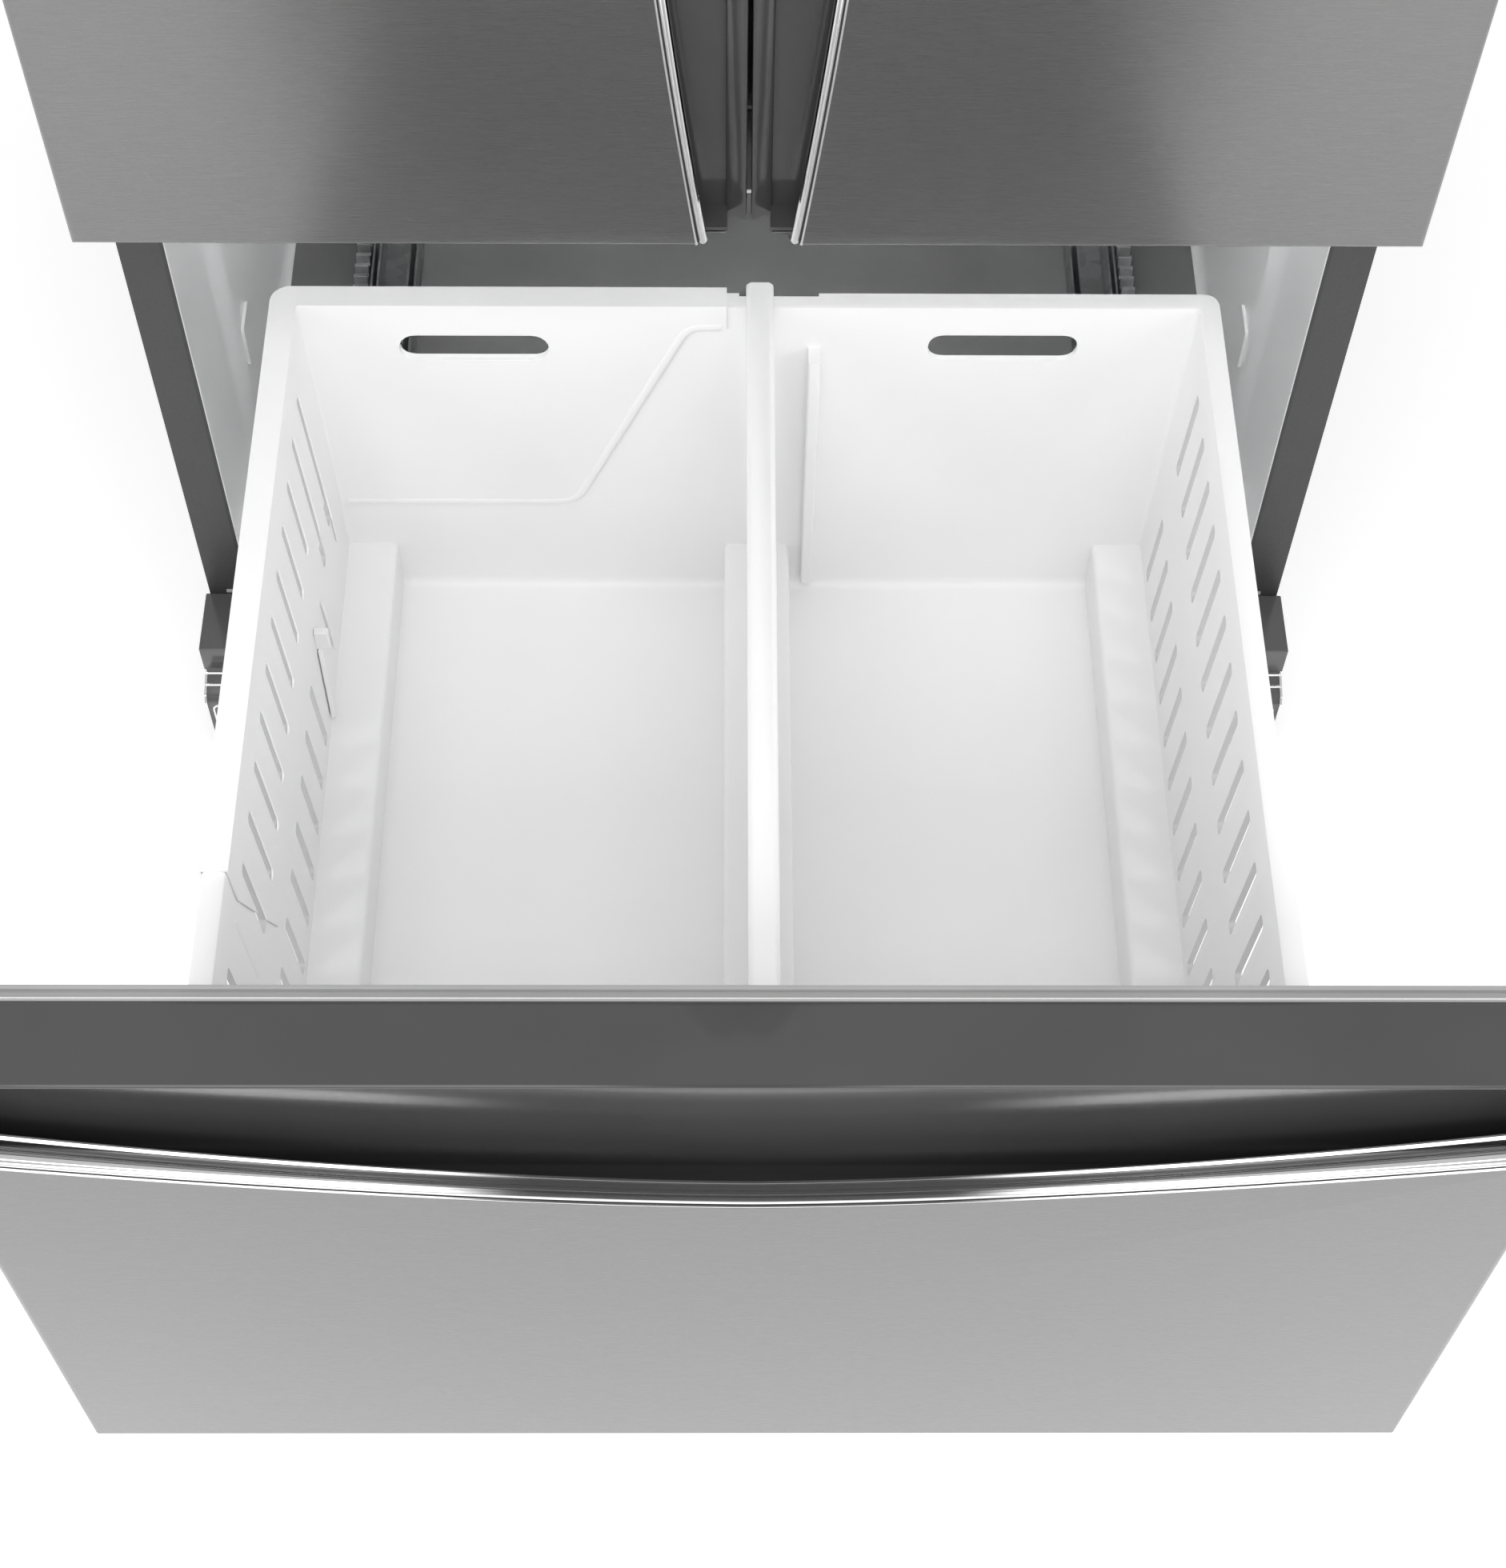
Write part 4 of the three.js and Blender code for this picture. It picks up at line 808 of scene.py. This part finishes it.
LINER_HALF = 412
LINER_WALL = 3
LINER_CORNER = 14
FREEZER = {"throat": (92, 126), "rear": 686, "z": (175.3, 586.7), "step": (725, 305)}
FRESH_FOOD = {"throat": (26, 48), "rear": 725, "z": (668.3, 1710.7)}
STEP_FROM = 400
FREEZER_LEDGE = {"width": 14, "z": (510, 517), "y": (140, 640), "soft": 2}
FREEZER_PAD = {"proud": 2.5, "y": (126, 160), "z": (262, 306), "soft": 5}
SHELF_LEDGE = {"width": 10, "y": (150, 640), "height": 10}
LEVELS = {"shelf_upper": 1430, "shelf_middle": 1180, "crisper_cover": 935}
GLASS = {"y": (147.5, 640), "z": (0.4, 5)}
TRIM = {"y": (143, 149.7), "half_high": 9, "soft": 2.4}


def throat_rings(wall, stations, z, radius):
    """Rounded rectangles at each (y, half width), moved outwards by wall."""
    rings = []
    for y, half in stations:
        corners = rectangle((-half - wall, half + wall), (z[0] - wall, z[1] + wall))
        rings.append([(p.x, y, p.y) for p in rounded(corners, radius + wall, 6)])
    return rings


def liner_solid(wall, stations, z, step=None, radius=LINER_CORNER):
    """The liner's inside (wall 0) or its outside as one solid; step is (y, z): above that z it
    reaches back to that y, over the machine space."""
    front, *middle, rear = stations
    mouth = (front[0] - (2 if wall == 0 else 0), front[1])
    solid = loft(throat_rings(wall, [mouth, *middle, (rear[0] + wall, rear[1])], z, radius))
    if step:
        upper = [(STEP_FROM, rear[1]), (step[0] + wall, rear[1])]
        solid = boolean(solid, loft(throat_rings(wall, upper, (step[1], z[1]), radius)), "UNION")
    return solid


def liner(spec):
    """The whole liner: its soft throat, then straight to its rear wall, open at the front."""
    stations = [*throat(*spec["throat"]), (spec["rear"], LINER_HALF)]
    step = spec.get("step")
    outside = liner_solid(LINER_WALL, stations, spec["z"], step)
    return boolean(outside, liner_solid(0, stations, spec["z"], step))


def throat(start, end):
    """The soft ramp from the wide mouth to the narrower body of a liner."""
    wide, narrow = OPENING["half"] - LINER_WALL - GAP, LINER_HALF
    turn = [(start + (end - start) * t, wide + (narrow - wide) * (3 * t * t - 2 * t ** 3))
            for t in (0, 0.15, 0.3, 0.5, 0.7, 0.85, 1)]
    return [(0.4, wide), *turn]


def on_wall(width):
    """From width inside the liner's side wall to just into it."""
    return (LINER_HALF - width, LINER_HALF + 1)


shell = liner(FREEZER)
soft = FREEZER_LEDGE["soft"]
for side in SIDES.values():
    outline = rounded(rectangle(on_wall(FREEZER_LEDGE["width"]), FREEZER_LEDGE["z"]), [soft, 0, 0, soft])
    ledge = prism("y", outline, FREEZER_LEDGE["y"])
    shell = boolean(shell, on_side(ledge, side), "UNION")
    outline = rounded(rectangle(FREEZER_PAD["y"], FREEZER_PAD["z"]), FREEZER_PAD["soft"])
    pad = prism("x", outline, on_wall(FREEZER_PAD["proud"]))
    shell = boolean(shell, on_side(pad, side), "UNION")
keep("freezer_liner.soft", shell, "cabinet", "liner_white", ["freezer_liner"], smooth=45)

shell = liner(FRESH_FOOD)
for level in LEVELS.values():
    for side in SIDES.values():
        z = (level - SHELF_LEDGE["height"], level)
        ledge = box(on_wall(SHELF_LEDGE["width"]), SHELF_LEDGE["y"], z)
        shell = boolean(shell, on_side(ledge, side), "UNION")
keep("freshfood_liner.soft", shell, "cabinet", "liner_white", ["freshfood_liner"], smooth=45)

for name, level in LEVELS.items():
    across = (-LINER_HALF + 1, LINER_HALF - 1)
    glass = box(across, GLASS["y"], [level + z for z in GLASS["z"]])
    keep(f"{name}.glass", glass, "cabinet", "shelf_glass", [name], bevel=0.8)
    front = rectangle(TRIM["y"], (level - TRIM["half_high"], level + TRIM["half_high"]))
    trim = prism("x", rounded(front, TRIM["soft"]), across)
    keep(f"{name}.trim", trim, "cabinet", "liner_white")

# ---------------------------------------------------------------- trim of the base grille and the flange


def loop_xz(x, z, y, radius, width, depth):
    """A raised bright frame round a rectangle on a face that looks forwards."""
    outer = prism("y", rounded(rectangle(x, z), radius, 6), (y - depth, y + 1))
    inside = rectangle((x[0] + width, x[1] - width), (z[0] + width, z[1] - width))
    return boolean(outer, prism("y", rounded(inside, radius - width * 0.7, 6), (y - depth - 1, y + 2)))


GRILLE_HALF = CASE_HALF + 3
# Beads along the grille: (y and z of the middle, size)
BEADS = {"upper": (-61.6, 86.6, 3.4), "middle": (-71.5, 83.2, 2.6), "lower": (-83.6, 11.5, 6.6)}
EDGE_PROFILE = [(-62, 92), (-62, 87.6), (-81, 80.8), (-85, 75.4), (-85, 8.2), (-83, 8.2), (-83, 74.6),
                (-79.6, 79.2), (-60.4, 86.2), (-60.4, 92)]
GRILLE_FRAME = {"inset": 6, "z": (27, 72), "face": -84, "corner": 7, "width": 1.8, "depth": 1.0}
CLIP = {"x": (430, 439), "y": (-2.4, -GAP), "z": (120.8, 123.8)}
MOUTH_BEAD = 2.6

for word, (y, z, size) in BEADS.items():
    around = rectangle((y - size / 2, y + size / 2), (z - size / 2, z + size / 2))
    bead = prism("x", rounded(around, size * 0.45, 4), (-GRILLE_HALF + 1, GRILLE_HALF - 1))
    keep(f"grille_bead_{word}", bead, "cabinet", "chrome")
for word, side in SIDES.items():
    edge = prism("x", EDGE_PROFILE, (GRILLE_HALF - 2.6, GRILLE_HALF - 0.4))
    keep(f"grille_edge_{word}", on_side(edge, side), "cabinet", "chrome", bevel=0.5)
    clip = box(CLIP["x"], CLIP["y"], CLIP["z"])
    keep(f"mouth_clip_{word}", on_side(clip, side), "cabinet", "gasket_grey", bevel=0.5)
grille_x = (-GRILLE_HALF + GRILLE_FRAME["inset"], GRILLE_HALF - GRILLE_FRAME["inset"])
bright_frame = loop_xz(grille_x, GRILLE_FRAME["z"], GRILLE_FRAME["face"], GRILLE_FRAME["corner"],
                       GRILLE_FRAME["width"], GRILLE_FRAME["depth"])
keep("grille_frame", bright_frame, "cabinet", "chrome", bevel=0.4)

mouth_half, foot, head = OPENING["half"], OPENING["bottom"], OPENING["top"]
inner_half = mouth_half - MOUTH_BEAD
mouth = boolean(box((-mouth_half, mouth_half), (-0.25, 1.5), (foot, head)),
                box((-inner_half, inner_half), (-1, 3), (foot + MOUTH_BEAD, head - MOUTH_BEAD)))
keep("flange_bead", mouth, "cabinet", "dark_matte")

# ---------------------------------------------------------------- the other CAD nodes, softened

# How far each node's edges are rounded, in millimetres, and the same for every node not named
EDGE = {
    "case_wrapper": 0, "mullion_rail": 2.0, "base_grille": 1.2, "freezer_floor_plate": 0.5,
    "basket_divider": 1.5, "corner_guard": 0.5, "freezer_tray": 1.2,
    "crisper_left": 1.2, "crisper_right": 1.2, "hinge_cover_left": 0.9, "hinge_cover_right": 0.9,
    "door_liner_left": 2.5, "door_liner_right": 2.5, "drawer_inner_panel": 2.0, "mullion_flipper": 1.0,
}
USUAL_EDGE = 0.4

replaced = {node for piece in bpy.data.objects for node in piece.get("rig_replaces", [])}
for node in sorted(frame["nodes"]):
    if node not in replaced:
        soften(node, EDGE.get(node, USUAL_EDGE))

# ---------------------------------------------------------------- screws and tubes at the back

# This section works in the frame's metres.

BACK_LOW, BACK_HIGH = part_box("back_panel")
SCREW_INSET = 0.012
SCREW_ROWS = 6                        # up each side
SCREW_BAYS = 4                        # along the foot and the head
SCREW_PROFILE = ((5.2, -0.4), (5.2, 0.5), (4.2, 1.2), (2.2, 1.6))
TUBE = {"radius": 0.003, "bend": 0.03, "sides": 12, "landing": 0.05}
TUBES = {"hot": (0.028, 0.015), "cold": (0.042, -0.02)}       # rise over the can, shift along x


def circle(count):
    return [2 * math.pi * k / count for k in range(count)]


def screw_head(x, z, bm):
    """A low domed head with a flat top, standing on the back panel."""
    rings = []
    for radius, height in SCREW_PROFILE:
        y = BACK_HIGH.y + height * MM
        rings.append([(x + radius * MM * math.cos(a), y, z + radius * MM * math.sin(a))
                      for a in circle(16)])
    return loft(rings, bm)


screws = bmesh.new()
foot, head = BACK_LOW.z + SCREW_INSET, BACK_HIGH.z - SCREW_INSET
for k in range(SCREW_ROWS):
    z = foot + (head - foot) * k / (SCREW_ROWS - 1)
    for x in (BACK_LOW.x + SCREW_INSET, BACK_HIGH.x - SCREW_INSET):
        screw_head(x, z, screws)
for k in range(1, SCREW_BAYS):
    x = BACK_LOW.x + (BACK_HIGH.x - BACK_LOW.x) * k / SCREW_BAYS
    screw_head(x, foot, screws)
    screw_head(x, head, screws)
keep("back_panel_screws", screws, "cabinet", "zinc", in_frame=True, smooth=50)


def pipe(name, points):
    """A zinc tube along a line of points, with rounded turns."""
    line = bent(points, TUBE["bend"])
    off_line = Vector((0.31, 0.27, 0.91))             # along no stretch of any tube
    rings = []
    for i, here in enumerate(line):
        along = (line[min(i + 1, len(line) - 1)] - line[max(i - 1, 0)]).normalized()
        side = along.cross(off_line).normalized()
        up = side.cross(along)
        rings.append([here + (side * math.cos(a) + up * math.sin(a)) * TUBE["radius"]
                      for a in circle(TUBE["sides"])])
    keep(name, loft(rings), "cabinet", "zinc", in_frame=True, smooth=60)


can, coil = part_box("compressor"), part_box("condenser")
can_mid = (can[0] + can[1]) / 2
near_side = coil[0].x if coil[0].x > can_mid.x else coil[1].x
inward = math.copysign(1, near_side - can_mid.x)
for word, (rise, shift) in TUBES.items():
    start_x = can_mid.x + shift
    end_x = near_side + inward * (TUBE["landing"] - shift)
    top = can[1].z + rise
    pipe(f"{word}_tube", [(start_x, can_mid.y, can[1].z - 0.006), (start_x, can_mid.y, top),
                          (end_x, can_mid.y, top), (end_x, can_mid.y, coil[1].z - 0.002)])

# ---------------------------------------------------------------- floor, light and camera


FLOOR = {"half": 14, "below": 0.0005, "glow": 0.35}
WORLD_LIGHT = 0.63
# Soft boxes: (where it is, what it faces, its width and height in metres, its power in watts)
LIGHTS = {
    "overhead": ((0, -1.5, 3.4), (0, -0.4, 0.4), (2.4, 1.6), 29),
    "front_box": ((0, -3.4, 2.7), (0, -0.3, 0.45), (2.6, 1.2), 32),
    "left_box": ((-2.6, -1.6, 1.8), (0, -0.4, 0.5), (1.4, 2.0), 26),
    "right_box": ((2.6, -1.6, 1.8), (0, -0.4, 0.5), (1.4, 2.0), 26),
    "freezer_lamp": ((0, 0.16, 0.575), (0, 0.10, 0.2), (0.7, 0.04), 15),
}
FLAG = {"half": (0.16, 0.75), "place": (0, -1.42, 1.25), "solid": 0.05, "clear": 0.15}
# The camera looks down on the open drawer; right and up are the directions of its picture's sides.
CAMERA = {
    "place": (-0.0127, -1.4058, 1.9453),
    "right": (0.99996, -0.00356, 0.00830),
    "up": (-0.0015, 0.84112, 0.54085),
    "lens": 61.4,
    "sees_to": 60,
}


def stage_card(name, half, location):
    """A flat rectangle of the given half sizes, as part of the stage."""
    bm = bmesh.new()
    bmesh.ops.create_grid(bm, x_segments=8, y_segments=8, size=1)
    bmesh.ops.scale(bm, vec=(*half, 1), verts=bm.verts)
    mesh = bpy.data.meshes.new(name)
    bm.to_mesh(mesh)
    bm.free()
    card = bpy.data.objects.new(name, mesh)
    card.location = location
    bpy.context.scene.collection.objects.link(card)
    return card


def floor():
    card = stage_card("floor", (FLOOR["half"], FLOOR["half"]), (0, 0, -FLOOR["below"]))
    look = Nodes("floor", Roughness=0.6, Emission_Strength=FLOOR["glow"])
    look.vary_color(look.noise(0.4), grey(0.86), grey(0.9))
    look.shader.inputs["Emission Color"].default_value = (1, 1, 1, 1)
    card.data.materials.append(look.material)


def area_light(name, location, target, size, power):
    data = bpy.data.lights.new(name, "AREA")
    data.shape = "RECTANGLE"
    data.size, data.size_y = size
    data.energy = power
    lamp = bpy.data.objects.new(name, data)
    lamp.location = location
    lamp.rotation_mode = "QUATERNION"
    lamp.rotation_quaternion = (Vector(target) - Vector(location)).to_track_quat("-Z", "Y")
    bpy.context.scene.collection.objects.link(lamp)


def flag():
    """A dark card above the drawer, clear at its sides, that only mirror-like faces see."""
    card = stage_card("flag", FLAG["half"], FLAG["place"])
    look = Nodes("flag", Roughness=0.9)
    look.vary_color(look.noise(9), grey(0.02), grey(0.08))
    parts = look.node("ShaderNodeSeparateXYZ")
    look.link(look.place((1, 1, 1)), parts.inputs["Vector"])
    off_middle = look.node("ShaderNodeMath", operation="ABSOLUTE")
    look.link(parts.outputs["X"], off_middle.inputs[0])
    fade = look.node("ShaderNodeMapRange", interpolation_type="SMOOTHSTEP")
    fade.inputs["From Min"].default_value = FLAG["solid"]
    fade.inputs["From Max"].default_value = FLAG["clear"]
    fade.inputs["To Min"].default_value = 1
    fade.inputs["To Max"].default_value = 0
    look.link(off_middle.outputs["Value"], fade.inputs["Value"])
    look.link(fade.outputs["Result"], look.shader.inputs["Alpha"])
    card.data.materials.append(look.material)
    card.visible_camera = False
    card.visible_diffuse = False
    card.visible_shadow = False
    card.visible_transmission = False


def studio():
    floor()
    world = bpy.data.worlds.new("studio")
    world.use_nodes = True
    background = world.node_tree.nodes["Background"]
    background.inputs["Color"].default_value = (1, 1, 1, 1)
    background.inputs["Strength"].default_value = WORLD_LIGHT
    bpy.context.scene.world = world
    for name, spec in LIGHTS.items():
        area_light(name, *spec)


def camera():
    data = bpy.data.cameras.new("camera")
    data.sensor_width = 36
    data.lens = CAMERA["lens"]
    data.clip_end = CAMERA["sees_to"]
    made = bpy.data.objects.new("camera", data)
    right, up = Vector(CAMERA["right"]), Vector(CAMERA["up"])
    rotation = Matrix((right, up, right.cross(up))).transposed()
    made.matrix_world = Matrix.Translation(CAMERA["place"]) @ rotation.to_4x4()
    bpy.context.scene.collection.objects.link(made)
    bpy.context.scene.camera = made


studio()
flag()
camera()
bpy.context.scene.view_settings.view_transform = "Standard"
